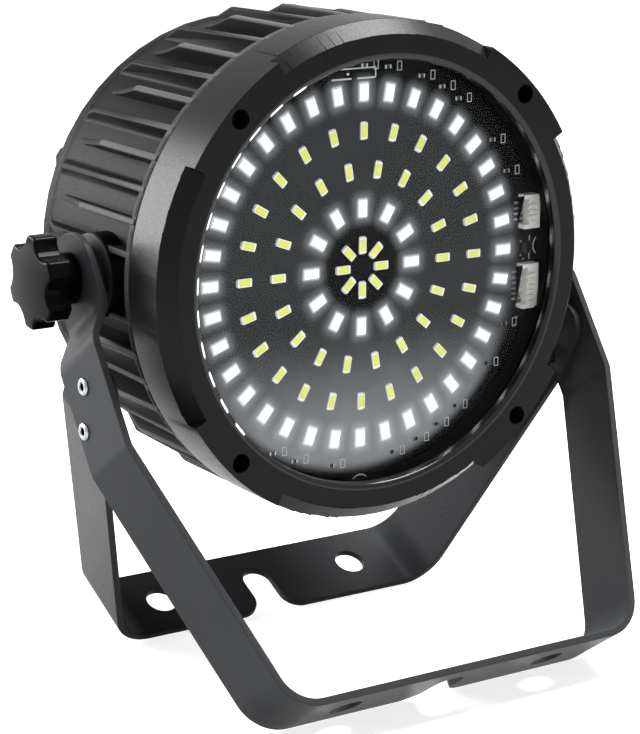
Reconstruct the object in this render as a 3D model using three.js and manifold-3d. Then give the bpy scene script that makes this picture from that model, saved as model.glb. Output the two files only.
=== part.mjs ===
// Strobe light: a round LED head with a finned drum, tilting in a double steel bracket.
// Millimetres, +Z up. The lamp faces -Y, and the bars of the two brackets stand on Z = 0.

import * as THREE from 'three';
import { mergeVertices } from 'three/addons/utils/BufferGeometryUtils.js';
import Module from 'manifold-3d';

const wasm = await Module();
wasm.setup();

// Fits between pieces, and facets of the rounds
const seatGap = 0.3;
const overrun = 4;
const ringSteps = 48;
const roundSteps = 20;
const smallSteps = 10;
const arcSteps = 4;
const notchSteps = 8;

// Place of the head: height of the lamp's axis, and pivot axis behind the LEDs
const axisHeight = 148.7;
const pivotSetback = 39.6;

// LED board, with the LEDs' tops at zero along the lamp's axis, and rings at shares of its radius
const ledLength = 5.7;
const ledWidth = 3;
const ledHeight = 0.8;
const ledRings = [
  { count: 8, share: 0.1022 },
  { count: 12, share: 0.2691 },
  { count: 18, share: 0.4427 },
  { count: 24, share: 0.6166 },
  { count: 36, share: 0.7882 },
];
const boardInset = 9.8;
const boardThickness = 1.6;
const plateThickness = 1.5;
const boardScrewInset = 6.7;
const boardScrewHeadRadius = 2.6;
const boardScrewHeadHeight = 1.6;
const boardScrewRadius = 1.25;

// Connectors on the LED board: pins at 2 mm pitch, body open on the outer side
const pinPitch = 2;
const connectorEnds = 5;
const connectorDepth = 7;
const connectorHeight = 4.8;
const connectorWall = 1;
const connectorInset = 11.2;
const connectors = [
  { name: 'led_connector_upper', pins: 4, offset: 14.2 },
  { name: 'led_connector_lower', pins: 6, offset: -14.4 },
];

// Front bezel, whose radius sets the size of the head
const bezelRadius = 91;
const bezelFront = 15;
const bezelSkirtEnd = -10.5;
const skirtWall = 1.8;
const bezelUnderside = 3;
const windowInset = 14.1;
const lipRoundHeight = 2.5;
const lipRoundWidth = 3.1;
const lipEdge = 1.2;
const chamferWidth = 5;
const chamferHeight = 6;
const bezelBackEdge = 0.8;
const screwCount = 4;
const firstScrewAngle = 45;
const padAngle = 30;
const bezelScrewInset = 5.1;
const counterboreRadius = 3.5;
const counterboreDepth = 9;
const screwHoleRadius = 1.8;
const screwRadius = 1.5;
const screwHeadRadius = 3;
const screwHeadHeight = 2.3;
const screwDriveRadius = 1.3;
const screwDriveDepth = 1.2;
const bezelScrewLength = 13;

// Lens, its gasket, and the spacer ring between lens and board, notched for the connectors
const lensThickness = 3;
const gasketThickness = 0.8;
const gasketWidth = 3;
const spacerWall = 1.6;

// Drum housing
const drumInset = 7.5;
const drumWall = 3;
const drumRear = -86;
const rimProud = 0.5;
const rimHeight = 1.5;
const flangeRear = -12;
const bandInset = 0.7;
const bandThickness = 3;
const seamWidth = 1.1;
const shoulderWidth = 4;
const shoulderThickness = 3;

// Fins, short and long in turn, both let into the drum
const finCount = 48;
const finThickness = 2.4;
const finRoot = 1;
const shortFinHeight = 7.3;
const shortFinFall = 36;
const shortFinMargin = 6;
const longFinHeight = 7;
const longFinHeightRear = 5.5;
const longFinFall = 14;
const longFinMargin = 0.5;
const fallStartShare = 0.13;
const fallEndShare = 0.47;
const fallRiseShare = 0.26;

// Pivot: boss on the drum, insert, spacer, knob and its stud
const bossRadius = 15.3;
const bossProud = 6.7;
const bossDepth = 15.7;
const bossMoatWidth = 1.7;
const bossMoatDepth = 8;
const insertRadius = 7;
const insertLength = 13;
const studRadius = 4;
const studReach = 26;
const spacerRadius = 11;
const spacerThickness = 4.5;
const knobHeight = 17.1;
const knobThickness = 10;
const knobCrest = 17;
const knobFlute = 13;
const knobLobes = 6;
const knobPhase = 55;
const knobSteps = 36;
const knobChamfer = 0.9;
const knobHubRadius = 9.5;
const studInKnob = 6;

// Bracket strip
const stripThickness = 2.7;
const earHoleRadius = 4.4;
const foldRadius = 17;
const elbowRadius = 8;
const joggleRadius = 9;
const legTaper = 31.3;

// Front bracket, measured along its legs from the pivot
const frontLean = 35.1;
const frontWidth = 31;
const frontAhead = 1.4;
const joggleTop = -16.7;
const joggleEnd = -28.1;
const joggleDepth = 8.2;
const frontElbow = -70;

// Rear bracket, measured along its legs from the pivot
const rearLean = 26.3;
const rearWidth = 32;
const rearAhead = 35.5;
const rearTop = -9.5;
const rearTopCorner = 8;
const joggleClearance = 4;
const rearElbow = -37;

// Holes and notch in both bars
const barHoleRadius = 6;
const barHolePitch = 44;
const barPatternShift = -2;
const notchWidth = 12;
const notchMouthRadius = 8;

// Blind rivets that join the brackets, as places from the pivot
const rivetAhead = 24;
const rivetUpper = -33.4;
const rivetPitch = 16.2;
const rivetRadius = 2.2;
const rivetHeadRadius = 3.4;
const rivetHeadHeight = 1.2;
const rivetTailRadius = 3;
const rivetTailHeight = 2.5;
const rivetBore = 1.3;
const rivetBoreDepth = 2;

// Rear cover, the places on it as shares of its radius
const coverHeight = 6;
const coverWall = 2.5;
const coverEdge = 2;
const coverScrewInset = 6.5;
const coverScrewLength = 14;
const coverBossRadius = 4.3;
const coverBossLength = 20;
const footInset = 9.5;
const footRadius = 5.5;
const footHeight = 9;
const footEdge = 1.5;
const footPegRadius = 2;
const footAngles = [25, 155, 205, 335];

// Display, buttons and control board
const displayWidth = 34;
const displayTall = 16;
const displayShare = 0.5509;
const windowLedge = 1.6;
const windowThickness = 1.2;
const moduleInset = 2;
const buttonNames = ['menu_button', 'down_button', 'up_button', 'enter_button'];
const buttonPitchShare = 0.1677;
const buttonShare = 0.3234;
const buttonRadius = 3;
const buttonFlangeRadius = 4.2;
const buttonFlange = 1.2;
const buttonProud = 1.6;
const buttonTravelRoom = 0.9;
const switchSize = 6;
const switchHeight = 4.3;
const controlWidthShare = 0.7665;
const controlTallShare = 0.5269;
const controlShare = 0.4431;
const standoffHeight = 8;
const standoffRadius = 2.6;
const standoffInset = 4;

// Sockets on the rear cover
const flangeThickness = 2.2;
const flangeMargin = 1.8;
const dataSpreadShare = 0.2635;
const dataShare = -0.024;
const dataRadius = 11.5;
const dataCavityRadius = 9.3;
const dataDepth = 22;
const dataPinRadius = 1.2;
const dataPinCircle = 5.2;
const dataPinCount = 3;
const powerSpreadShare = 0.2874;
const powerShare = -0.4431;
const powerWidth = 27.5;
const powerTall = 20.5;
const powerWall = 1.8;
const powerDepth = 22;
const powerBladeWidth = 2;
const powerBladeTall = 4;
const powerBladeSpread = 7;
const powerBladeDrop = 2;
const cavityDepth = 16;
const pinRecess = 5;
const contactHoleDepth = 10;
const contactHoleRadius = 1.4;
const fuseShare = -0.7425;
const fuseRadius = 6;
const fuseFlangeRadius = 8;
const fuseDepth = 24;
const fuseBore = 4;
const fuseBoreDepth = 12;
const fuseCapHeight = 6;
const fuseCapPlug = 8;
const fuseSlotWidth = 1.4;
const fuseSlotDepth = 1.2;

// Power supply on the back of the mounting plate
const supplyWidthShare = 1.0345;
const supplyTallShare = 0.7882;
const supplyStandoff = 15;
const supplyPostRadius = 3;
const supplyPostInset = 6;
const transformerWidth = 30;
const transformerTall = 26;
const transformerHeight = 22;
const transformerDrop = 10;
const transformerClearance = 6.5;
const capacitorRadius = 8;
const capacitorHeight = 25;
const capacitorClearance = 3;
const capacitorInset = 10;
const leadRadius = 2.5;
const leadSides = 8;
const leadSteps = 14;

// Places worked out from the sizes above
const boardRadius = bezelRadius - boardInset;
const boardScrewCircle = boardRadius - boardScrewInset;
const connectorInner = boardRadius - connectorInset;
const windowRadius = bezelRadius - windowInset;
const bezelScrewCircle = bezelRadius - bezelScrewInset;
const drumRadius = bezelRadius - drumInset;
const rimRadius = drumRadius + rimProud;
const coverRadius = drumRadius;
const coverScrewCircle = coverRadius - coverScrewInset;
const footCircle = coverRadius - footInset;
const shortFinCrest = drumRadius + shortFinHeight;
const shortFinStraight = drumRear + shortFinFall;
const shortFinEnd = drumRear + shortFinMargin;
const longFinCrest = drumRadius + longFinHeight;
const longFinCrestRear = drumRadius + longFinHeightRear;
const longFinStraight = drumRear + longFinFall;
const longFinEnd = drumRear + longFinMargin;
const bossFace = drumRadius + bossProud;
const bossInner = bossFace - bossDepth;
const bossMoatFloor = bossFace - bossMoatDepth;
const earInner = bossFace + spacerThickness + 2 * seatGap;
const earFace = earInner + stripThickness;
const legFace = earFace + joggleDepth;
const displayAt = displayShare * coverRadius;
const buttonPitch = buttonPitchShare * coverRadius;
const buttonAt = buttonShare * coverRadius;
const controlWidth = controlWidthShare * coverRadius;
const controlTall = controlTallShare * coverRadius;
const controlAt = controlShare * coverRadius;
const dataSpread = dataSpreadShare * coverRadius;
const dataAt = dataShare * coverRadius;
const powerSpread = powerSpreadShare * coverRadius;
const powerAt = powerShare * coverRadius;
const fuseAt = fuseShare * coverRadius;
const supplyWidth = supplyWidthShare * boardRadius;
const supplyTall = supplyTallShare * boardRadius;
const boardTop = -ledHeight;
const boardBack = boardTop - boardThickness;
const plateTop = boardBack - seatGap;
const plateBack = plateTop - plateThickness;
const pocketRadius = boardRadius + seatGap;
const drumBore = drumRadius - drumWall;
const flangeRadius = bezelRadius - skirtWall - seatGap;
const bandRadius = bezelRadius - bandInset;
const bandFront = bezelSkirtEnd - seamWidth;
const housingFront = bezelUnderside - seatGap;
const lipBack = bezelFront - lipRoundHeight - lipEdge;
const gasketFront = lipBack - seatGap;
const lensFront = gasketFront - gasketThickness - seatGap;
const lensBack = lensFront - lensThickness;
const legInner = legFace - stripThickness;
const rearLegFace = legInner - seatGap;
const rearLegInner = rearLegFace - stripThickness;
const frontCorner = legFace - legTaper;
const rearCorner = rearLegFace - legTaper;
const coverRim = drumRear - seatGap;
const coverFace = coverRim - coverHeight;
const coverInner = coverFace + coverWall;
const controlFace = coverInner + standoffHeight + seatGap;
const controlBack = controlFace + boardThickness;
const supplyFront = plateBack - supplyStandoff - seatGap;
const supplyBack = supplyFront - boardThickness;
const insertFace = bossFace - seatGap;
const knobBack = earFace + seatGap;
const knobFace = knobBack + knobHeight;
const loomEdge = supplyWidth / 2 - supplyPostInset - 2 * supplyPostRadius;
const transformerAt = {
  x: loomEdge - leadRadius - transformerClearance - transformerWidth / 2,
  y: -transformerDrop,
};
const capacitorAt = {
  x: capacitorInset - loomEdge,
  y: transformerAt.y + transformerTall / 2 + capacitorClearance + capacitorRadius,
};

// Materials
const moulded = { color: 0x1b1b1c, roughness: 0.42, metalness: 0 };
const materials = {
  housing: new THREE.MeshStandardMaterial(moulded),
  knob: new THREE.MeshStandardMaterial({ color: 0x141415, roughness: 0.35, metalness: 0 }),
  bracket: new THREE.MeshStandardMaterial({ color: 0x222325, roughness: 0.55, metalness: 0.1 }),
  steel: new THREE.MeshStandardMaterial({ color: 0x2b2b2d, roughness: 0.4, metalness: 0.8 }),
  bright: new THREE.MeshStandardMaterial({ color: 0xc3c5c8, roughness: 0.3, metalness: 1 }),
  brass: new THREE.MeshStandardMaterial({ color: 0xb08d4a, roughness: 0.35, metalness: 1 }),
  rubber: new THREE.MeshStandardMaterial({ color: 0x0f0f0f, roughness: 0.9, metalness: 0 }),
  lens: new THREE.MeshStandardMaterial({
    color: 0xf4f7f8, roughness: 0.04, metalness: 0, transparent: true, opacity: 0.25,
  }),
  board: new THREE.MeshStandardMaterial({ color: 0x101312, roughness: 0.45, metalness: 0 }),
  circuit: new THREE.MeshStandardMaterial({ color: 0x1d4a2c, roughness: 0.5, metalness: 0 }),
  nylon: new THREE.MeshStandardMaterial({ color: 0xe6e6e0, roughness: 0.5, metalness: 0 }),
};

// Solids: closed geometries that can be joined and cut
function solidFrom(geometry) {
  geometry.deleteAttribute('normal');
  geometry.deleteAttribute('uv');
  const merged = mergeVertices(geometry);
  const vertProperties = merged.attributes.position.array;
  const triVerts = merged.index.array;
  return new wasm.Manifold(new wasm.Mesh({ numProp: 3, vertProperties, triVerts }));
}

function geometryFrom(solid) {
  const mesh = solid.getMesh();
  const geometry = new THREE.BufferGeometry();
  geometry.setAttribute('position', new THREE.BufferAttribute(mesh.vertProperties, mesh.numProp));
  geometry.setIndex(new THREE.BufferAttribute(mesh.triVerts, 1));
  geometry.computeVertexNormals();
  return geometry;
}

function addPiece(parent, name, solid, material) {
  const piece = new THREE.Mesh(geometryFrom(solid), material);
  piece.name = name;
  parent.add(piece);
}

function joined(solids) {
  return solids.reduce((whole, solid) => whole.add(solid));
}

// A turned solid round the local Z axis: its profile runs anticlockwise as [radius, z] pairs
function turned(profile, steps = roundSteps) {
  const points = profile.map(([radius, z]) => new THREE.Vector2(radius, z));
  const geometry = new THREE.LatheGeometry(points, steps);
  geometry.rotateX(Math.PI / 2);
  return solidFrom(geometry);
}

// A turned ring, whose profile closes on itself away from the axis
function turnedRing(profile, steps = ringSteps) {
  return turned([...profile, profile[0]], steps);
}

function rod(radius, low, high, steps = roundSteps) {
  return turned([[0, low], [radius, low], [radius, high], [0, high]], steps);
}

function tube(outer, inner, low, high, steps = ringSteps) {
  return turnedRing([[inner, low], [outer, low], [outer, high], [inner, high]], steps);
}

function block(width, tall, low, high) {
  const geometry = new THREE.BoxGeometry(width, tall, high - low);
  geometry.translate(0, 0, (low + high) / 2);
  return solidFrom(geometry);
}

// A flat shape raised along local Z
function raised(shape, low, high, curveSegments) {
  const geometry = new THREE.ExtrudeGeometry(shape, {
    depth: high - low, bevelEnabled: false, curveSegments,
  });
  geometry.translate(0, 0, low);
  return solidFrom(geometry);
}

function radians(degrees) {
  return THREE.MathUtils.degToRad(degrees);
}

function around(radius, degrees) {
  return [radius * Math.cos(radians(degrees)), radius * Math.sin(radians(degrees)), 0];
}

// Turns a solid made along local Z so that it lies along X, out to the side given by sign
function toSide(solid, sign) {
  return solid.rotate([0, sign * 90, 0]);
}

// Pan-head screw: head outwards along Z from the seat, shank below it, cross drive as a round pit
function panScrew(headRadius, headHeight, shankRadius, length, seat) {
  const head = rod(headRadius, seat, seat + headHeight, smallSteps);
  const shank = rod(shankRadius, seat - length, seat + headHeight / 2, smallSteps);
  const driveTop = seat + headHeight;
  const driveRadius = screwDriveRadius * headRadius / screwHeadRadius;
  const driveDepth = screwDriveDepth * headHeight / screwHeadHeight;
  const drive = rod(driveRadius, driveTop - driveDepth, driveTop + overrun, smallSteps);
  return head.add(shank).subtract(drive);
}

// LED board: a disc with all its LEDs standing on it
function ledBoard() {
  const packages = [];
  for (const ring of ledRings) {
    for (let index = 0; index < ring.count; index += 1) {
      const led = block(ledLength, ledWidth, boardTop - ledHeight / 2, 0);
      packages.push(led.translate([ring.share * boardRadius, 0, 0]).rotate([0, 0, index * 360 / ring.count]));
    }
  }
  const holeRadius = boardScrewRadius + seatGap;
  const hole = rod(holeRadius, boardBack - overrun, boardTop + overrun, smallSteps);
  return joined([rod(boardRadius, boardBack, boardTop, ringSteps), ...packages])
    .subtract(hole.translate(around(boardScrewCircle, 0)))
    .subtract(hole.translate(around(boardScrewCircle, 180)));
}

function ledConnector(pins, offset) {
  const width = (pins - 1) * pinPitch + connectorEnds;
  const low = boardTop + seatGap;
  const high = low + connectorHeight;
  const middle = connectorInner + connectorDepth / 2;
  const body = block(connectorDepth, width, low, high);
  const mouth = block(
    connectorDepth, width - 2 * connectorWall, low + connectorWall, high - connectorWall,
  );
  return body.subtract(mouth.translate([2 * connectorWall, 0, 0]))
    .translate([middle, offset, 0]);
}

function spacerRing() {
  let ring = tube(boardRadius, boardRadius - spacerWall, boardTop + seatGap, lensBack - seatGap);
  for (const { pins, offset } of connectors) {
    const width = (pins - 1) * pinPitch + connectorEnds + 2 * seatGap;
    const room = block(
      connectorDepth, width, boardTop - overrun, boardTop + connectorHeight + 2 * seatGap,
    );
    ring = ring.subtract(room.translate([connectorInner + connectorDepth / 2 + seatGap, offset, 0]));
  }
  return ring;
}

// Mounting plate: the LED board's backing, with posts for the power supply behind it
function mountingPlate() {
  const posts = [];
  for (const side of [-1, 1]) {
    for (const end of [-1, 1]) {
      const post = rod(supplyPostRadius, supplyFront + seatGap, plateBack + plateThickness / 2, smallSteps);
      const x = side * (supplyWidth / 2 - supplyPostInset);
      const y = end * (supplyTall / 2 - supplyPostInset);
      posts.push(post.translate([x, y, 0]));
    }
  }
  const hole = rod(boardScrewRadius + seatGap, plateBack - overrun, plateTop + overrun, smallSteps);
  return joined([rod(boardRadius, plateBack, plateTop, ringSteps), ...posts])
    .subtract(hole.translate(around(boardScrewCircle, 0)))
    .subtract(hole.translate(around(boardScrewCircle, 180)));
}

// Bezel: a turned ring chamfered between four pads, with a counterbored screw hole in each pad
function frontBezel() {
  const skirtBore = bezelRadius - skirtWall;
  const lipTop = windowRadius + lipRoundWidth;
  const chamferStart = bezelRadius - chamferWidth;
  const chamferEnd = bezelFront - chamferHeight;
  const lipMiddle = windowRadius + lipRoundWidth * (1 - Math.SQRT1_2);
  const lipMiddleHeight = bezelFront - lipRoundHeight * (1 - Math.SQRT1_2);
  const ring = turnedRing([
    [skirtBore, bezelSkirtEnd],
    [bezelRadius - bezelBackEdge, bezelSkirtEnd],
    [bezelRadius, bezelSkirtEnd + bezelBackEdge],
    [bezelRadius, chamferEnd],
    [chamferStart, bezelFront],
    [lipTop, bezelFront],
    [lipMiddle, lipMiddleHeight],
    [windowRadius, bezelFront - lipRoundHeight],
    [windowRadius, lipBack],
    [pocketRadius, lipBack],
    [pocketRadius, bezelUnderside],
    [skirtBore, bezelUnderside],
  ]);
  const padRing = turnedRing([
    [chamferStart - chamferWidth / 2, chamferEnd],
    [bezelRadius, chamferEnd],
    [bezelRadius, bezelFront],
    [chamferStart - chamferWidth / 2, bezelFront],
  ]);
  let bezel = ring;
  for (let index = 0; index < screwCount; index += 1) {
    const middle = firstScrewAngle + index * 360 / screwCount;
    const wedge = new THREE.Shape();
    wedge.moveTo(0, 0);
    const reach = bezelRadius + overrun;
    wedge.absarc(0, 0, reach, radians(middle - padAngle / 2), radians(middle + padAngle / 2), false);
    const pad = padRing.intersect(raised(wedge, chamferEnd - overrun, bezelFront + overrun, arcSteps));
    const floor = bezelFront - counterboreDepth;
    const bore = rod(counterboreRadius, floor, bezelFront + overrun, smallSteps);
    const hole = rod(screwHoleRadius, bezelUnderside - overrun, floor + overrun, smallSteps);
    bezel = bezel.add(pad).subtract(bore.add(hole).translate(around(bezelScrewCircle, middle)));
  }
  return bezel;
}

// One fin, as its outline in radius and depth, standing in a plane through the lamp's axis
function finSolid(outline) {
  const geometry = new THREE.ExtrudeGeometry(outline, {
    depth: finThickness, bevelEnabled: false, curveSegments: arcSteps,
  });
  geometry.translate(0, 0, -finThickness / 2);
  geometry.rotateX(Math.PI / 2);
  return solidFrom(geometry);
}

function shortFin() {
  const fall = shortFinStraight - shortFinEnd;
  const outline = new THREE.Shape();
  outline.moveTo(drumRadius - finRoot, flangeRear);
  outline.lineTo(shortFinCrest, flangeRear);
  outline.lineTo(shortFinCrest, shortFinStraight);
  outline.bezierCurveTo(
    shortFinCrest, shortFinStraight - fallStartShare * fall,
    drumRadius + fallRiseShare * (shortFinCrest - drumRadius), shortFinStraight - fallEndShare * fall,
    drumRadius, shortFinEnd,
  );
  outline.lineTo(drumRadius - finRoot, shortFinEnd);
  return finSolid(outline);
}

function longFin() {
  const outline = new THREE.Shape();
  outline.moveTo(drumRadius - finRoot, flangeRear);
  outline.lineTo(longFinCrest, flangeRear);
  outline.lineTo(longFinCrestRear, longFinStraight);
  outline.lineTo(drumRadius, longFinEnd);
  outline.lineTo(drumRadius - finRoot, longFinEnd);
  return finSolid(outline);
}

// Drum housing: a turned shell with fins, pivot bosses and screw bosses for the rear cover
function drumHousing() {
  const shoulderTop = plateBack - seatGap;
  const shoulderBack = shoulderTop - shoulderThickness;
  const shell = turnedRing([
    [drumBore, drumRear],
    [rimRadius, drumRear],
    [rimRadius, drumRear + rimHeight],
    [drumRadius, drumRear + 2 * rimHeight],
    [drumRadius, bandFront - bandThickness],
    [bandRadius, bandFront - bandThickness],
    [bandRadius, bandFront],
    [flangeRadius, bandFront],
    [flangeRadius, housingFront],
    [pocketRadius, housingFront],
    [pocketRadius, shoulderTop],
    [pocketRadius - shoulderWidth, shoulderTop],
    [pocketRadius - shoulderWidth, shoulderBack],
    [drumBore, shoulderBack - shoulderWidth],
  ]);
  const fins = [];
  const short = shortFin();
  const long = longFin();
  for (let index = 0; index < finCount; index += 1) {
    const atPivot = index % (finCount / 2) === 0;
    if (!atPivot) {
      const fin = index % 2 === 0 ? short : long;
      fins.push(fin.rotate([0, 0, index * 360 / finCount]));
    }
  }
  let drum = joined([shell, ...fins]);
  for (const sign of [-1, 1]) {
    const moat = tube(
      bossRadius + bossMoatWidth, bossRadius, bossMoatFloor, bossFace + overrun, roundSteps,
    );
    const boss = rod(bossRadius, bossInner, bossFace);
    const bore = rod(insertRadius + seatGap, bossInner - overrun, bossFace + overrun);
    const place = [0, 0, -pivotSetback];
    drum = drum.add(toSide(boss, sign).translate(place))
      .subtract(toSide(moat, sign).translate(place))
      .subtract(toSide(bore, sign).translate(place));
  }
  for (let index = 0; index < screwCount; index += 1) {
    const angle = firstScrewAngle + index * 360 / screwCount;
    const boss = rod(coverBossRadius, drumRear, drumRear + coverBossLength, smallSteps);
    const rearHole = rod(screwHoleRadius, drumRear - overrun, drumRear + coverScrewLength, smallSteps);
    const frontHole = rod(
      screwHoleRadius, bezelFront - counterboreDepth - bezelScrewLength - seatGap,
      housingFront + overrun, smallSteps,
    );
    drum = drum.add(boss.translate(around(coverScrewCircle, angle)))
      .subtract(rearHole.translate(around(coverScrewCircle, angle)))
      .subtract(frontHole.translate(around(bezelScrewCircle, angle)));
  }
  return drum;
}

// Rear cover: a shallow pan with openings for what it carries
function rearCover() {
  const pan = turned([
    [0, coverFace],
    [coverRadius - coverEdge, coverFace],
    [coverRadius, coverFace + coverEdge],
    [coverRadius, coverRim],
    [coverRadius - coverWall, coverRim],
    [coverRadius - coverWall, coverInner],
    [0, coverInner],
  ], ringSteps);
  const added = [];
  const cuts = [];
  for (let index = 0; index < screwCount; index += 1) {
    const angle = firstScrewAngle + index * 360 / screwCount;
    const column = rod(coverBossRadius, coverFace + coverWall / 2, coverRim, smallSteps);
    const headPit = rod(
      screwHeadRadius + seatGap, coverFace - overrun, coverFace + screwHeadHeight, smallSteps,
    );
    const hole = rod(screwHoleRadius, coverFace - overrun, coverRim + overrun, smallSteps);
    added.push(column.translate(around(coverScrewCircle, angle)));
    cuts.push(headPit.add(hole).translate(around(coverScrewCircle, angle)));
  }
  for (const angle of footAngles) {
    const hole = rod(footPegRadius + seatGap, coverFace - overrun, coverInner + overrun, smallSteps);
    cuts.push(hole.translate(around(footCircle, angle)));
  }
  for (const side of [-1, 1]) {
    for (const end of [-1, 1]) {
      const x = side * (controlWidth / 2 - standoffInset);
      const y = controlAt + end * (controlTall / 2 - standoffInset);
      const post = rod(standoffRadius, coverInner - coverWall / 2, controlFace - seatGap, smallSteps);
      added.push(post.translate([x, y, 0]));
    }
    const dataHole = rod(dataRadius + seatGap, coverFace - overrun, coverInner + overrun);
    cuts.push(dataHole.translate([side * dataSpread, dataAt, 0]));
    const powerHole = block(
      powerWidth + 2 * seatGap, powerTall + 2 * seatGap, coverFace - overrun, coverInner + overrun,
    );
    cuts.push(powerHole.translate([side * powerSpread, powerAt, 0]));
  }
  const ledge = block(
    displayWidth + 2 * seatGap, displayTall + 2 * seatGap,
    coverFace - overrun, coverFace + windowThickness + seatGap,
  );
  const sight = block(
    displayWidth - 2 * windowLedge, displayTall - 2 * windowLedge,
    coverFace - overrun, coverInner + overrun,
  );
  cuts.push(ledge.add(sight).translate([0, displayAt, 0]));
  buttonNames.forEach((name, index) => {
    const hole = rod(buttonRadius + seatGap, coverFace - overrun, coverInner + overrun, smallSteps);
    cuts.push(hole.translate([buttonPlace(index), buttonAt, 0]));
  });
  const fuseHole = rod(fuseRadius + seatGap, coverFace - overrun, coverInner + overrun);
  cuts.push(fuseHole.translate([0, fuseAt, 0]));
  return joined([pan, ...added]).subtract(joined(cuts));
}

function buttonPlace(index) {
  return (index - (buttonNames.length - 1) / 2) * buttonPitch;
}

function foot() {
  const low = coverFace - seatGap - footHeight;
  const high = coverFace - seatGap;
  const pad = turned([
    [0, low], [footRadius - footEdge, low], [footRadius, low + footEdge], [footRadius, high], [0, high],
  ], smallSteps);
  const peg = rod(footPegRadius, high - overrun, coverInner + seatGap, smallSteps);
  return pad.add(peg);
}

// Push button: cap proud of the cover, flange behind it, stem towards its switch
function pushButton() {
  const stemEnd = controlFace - switchHeight - buttonTravelRoom;
  const flangeLow = coverInner + seatGap;
  return turned([
    [0, coverFace - buttonProud],
    [buttonRadius - seatGap, coverFace - buttonProud],
    [buttonRadius, coverFace - buttonProud + seatGap],
    [buttonRadius, flangeLow],
    [buttonFlangeRadius, flangeLow],
    [buttonFlangeRadius, flangeLow + buttonFlange],
    [buttonRadius / 2, flangeLow + buttonFlange],
    [buttonRadius / 2, stemEnd],
    [0, stemEnd],
  ], smallSteps);
}

function controlBoard() {
  const board = block(controlWidth, controlTall, controlFace, controlBack).translate([0, controlAt, 0]);
  const switches = buttonNames.map((name, index) => {
    const body = block(switchSize, switchSize, controlFace - switchHeight, controlFace + boardThickness / 2);
    return body.translate([buttonPlace(index), buttonAt, 0]);
  });
  return joined([board, ...switches]);
}

// Round data socket: a flange on the cover and a body through it
function dataBody(cavityRadius, depth) {
  const flange = block(
    2 * (dataRadius + flangeMargin), 2 * (dataRadius + flangeMargin),
    coverFace - seatGap - flangeThickness, coverFace - seatGap,
  );
  const body = rod(dataRadius, coverFace - seatGap - flangeThickness / 2, coverFace + dataDepth);
  const mouth = coverFace - seatGap - flangeThickness;
  return flange.add(body).subtract(rod(cavityRadius, mouth - overrun, mouth + depth));
}

function dataContact(index) {
  return around(dataPinCircle, 90 + index * 360 / dataPinCount);
}

function dataInlet() {
  const mouth = coverFace - seatGap - flangeThickness;
  const pins = [];
  for (let index = 0; index < dataPinCount; index += 1) {
    const pin = rod(dataPinRadius, mouth + pinRecess, mouth + cavityDepth + flangeThickness, smallSteps);
    pins.push(pin.translate(dataContact(index)));
  }
  return joined([dataBody(dataCavityRadius, cavityDepth), ...pins]);
}

function dataOutlet() {
  const mouth = coverFace - seatGap - flangeThickness;
  const holes = [];
  for (let index = 0; index < dataPinCount; index += 1) {
    const hole = rod(contactHoleRadius, mouth - overrun, mouth + contactHoleDepth, smallSteps);
    holes.push(hole.translate(dataContact(index)));
  }
  return dataBody(dataCavityRadius, flangeThickness / 2).subtract(joined(holes));
}

// Flat power socket: a flange on the cover and a rectangular body through it
function powerBody() {
  const flange = block(
    powerWidth + 2 * flangeMargin, powerTall + 2 * flangeMargin,
    coverFace - seatGap - flangeThickness, coverFace - seatGap,
  );
  const body = block(
    powerWidth, powerTall, coverFace - seatGap - flangeThickness / 2, coverFace + powerDepth,
  );
  return flange.add(body);
}

function bladePlace(index) {
  return [(index - 1) * powerBladeSpread, index === 1 ? powerBladeDrop : -powerBladeDrop, 0];
}

function powerInlet() {
  const mouth = coverFace - seatGap - flangeThickness;
  const cavity = block(
    powerWidth - 2 * powerWall, powerTall - 2 * powerWall, mouth - overrun, mouth + cavityDepth,
  );
  const blades = [0, 1, 2].map((index) => {
    const top = mouth + cavityDepth + flangeThickness;
    return block(powerBladeWidth, powerBladeTall, mouth + pinRecess, top).translate(bladePlace(index));
  });
  return joined([powerBody().subtract(cavity), ...blades]);
}

function powerOutlet() {
  const mouth = coverFace - seatGap - flangeThickness;
  const slots = [0, 1, 2].map((index) => {
    const slot = block(
      powerBladeWidth + 2 * seatGap, powerBladeTall + 2 * seatGap, mouth - overrun, mouth + cavityDepth,
    );
    return slot.translate(bladePlace(index));
  });
  return powerBody().subtract(joined(slots));
}

function fuseHolder() {
  const low = coverFace - seatGap - flangeThickness;
  const flange = rod(fuseFlangeRadius, low, coverFace - seatGap);
  const body = rod(fuseRadius, coverFace - seatGap - flangeThickness / 2, coverFace + fuseDepth);
  const bore = rod(fuseBore, low - overrun, low + fuseBoreDepth);
  return flange.add(body).subtract(bore);
}

function fuseCap() {
  const high = coverFace - 2 * seatGap - flangeThickness;
  const low = high - fuseCapHeight;
  const cap = turned([
    [0, low], [fuseRadius - seatGap, low], [fuseRadius, low + seatGap], [fuseRadius, high], [0, high],
  ]);
  const plug = rod(fuseBore - seatGap, high - fuseCapHeight / 2, high + fuseCapPlug);
  const slot = block(2 * fuseFlangeRadius, fuseSlotWidth, low - overrun, low + fuseSlotDepth);
  return cap.add(plug).subtract(slot);
}

// Power supply: a board with posts' seats, carried behind the mounting plate
function supplyBoard() {
  return block(supplyWidth, supplyTall, supplyBack, supplyFront);
}

// A lead between two pieces inside the drum: straight at both ends, round in section
function lead(places) {
  const curve = new THREE.CatmullRomCurve3(places.map((place) => new THREE.Vector3(...place)));
  const section = new THREE.Shape();
  for (let index = 0; index < leadSides; index += 1) {
    const [x, y] = around(leadRadius, index * 360 / leadSides);
    if (index === 0) section.moveTo(x, y);
    else section.lineTo(x, y);
  }
  return solidFrom(new THREE.ExtrudeGeometry(section, {
    steps: leadSteps, bevelEnabled: false, extrudePath: curve,
  }));
}

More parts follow.
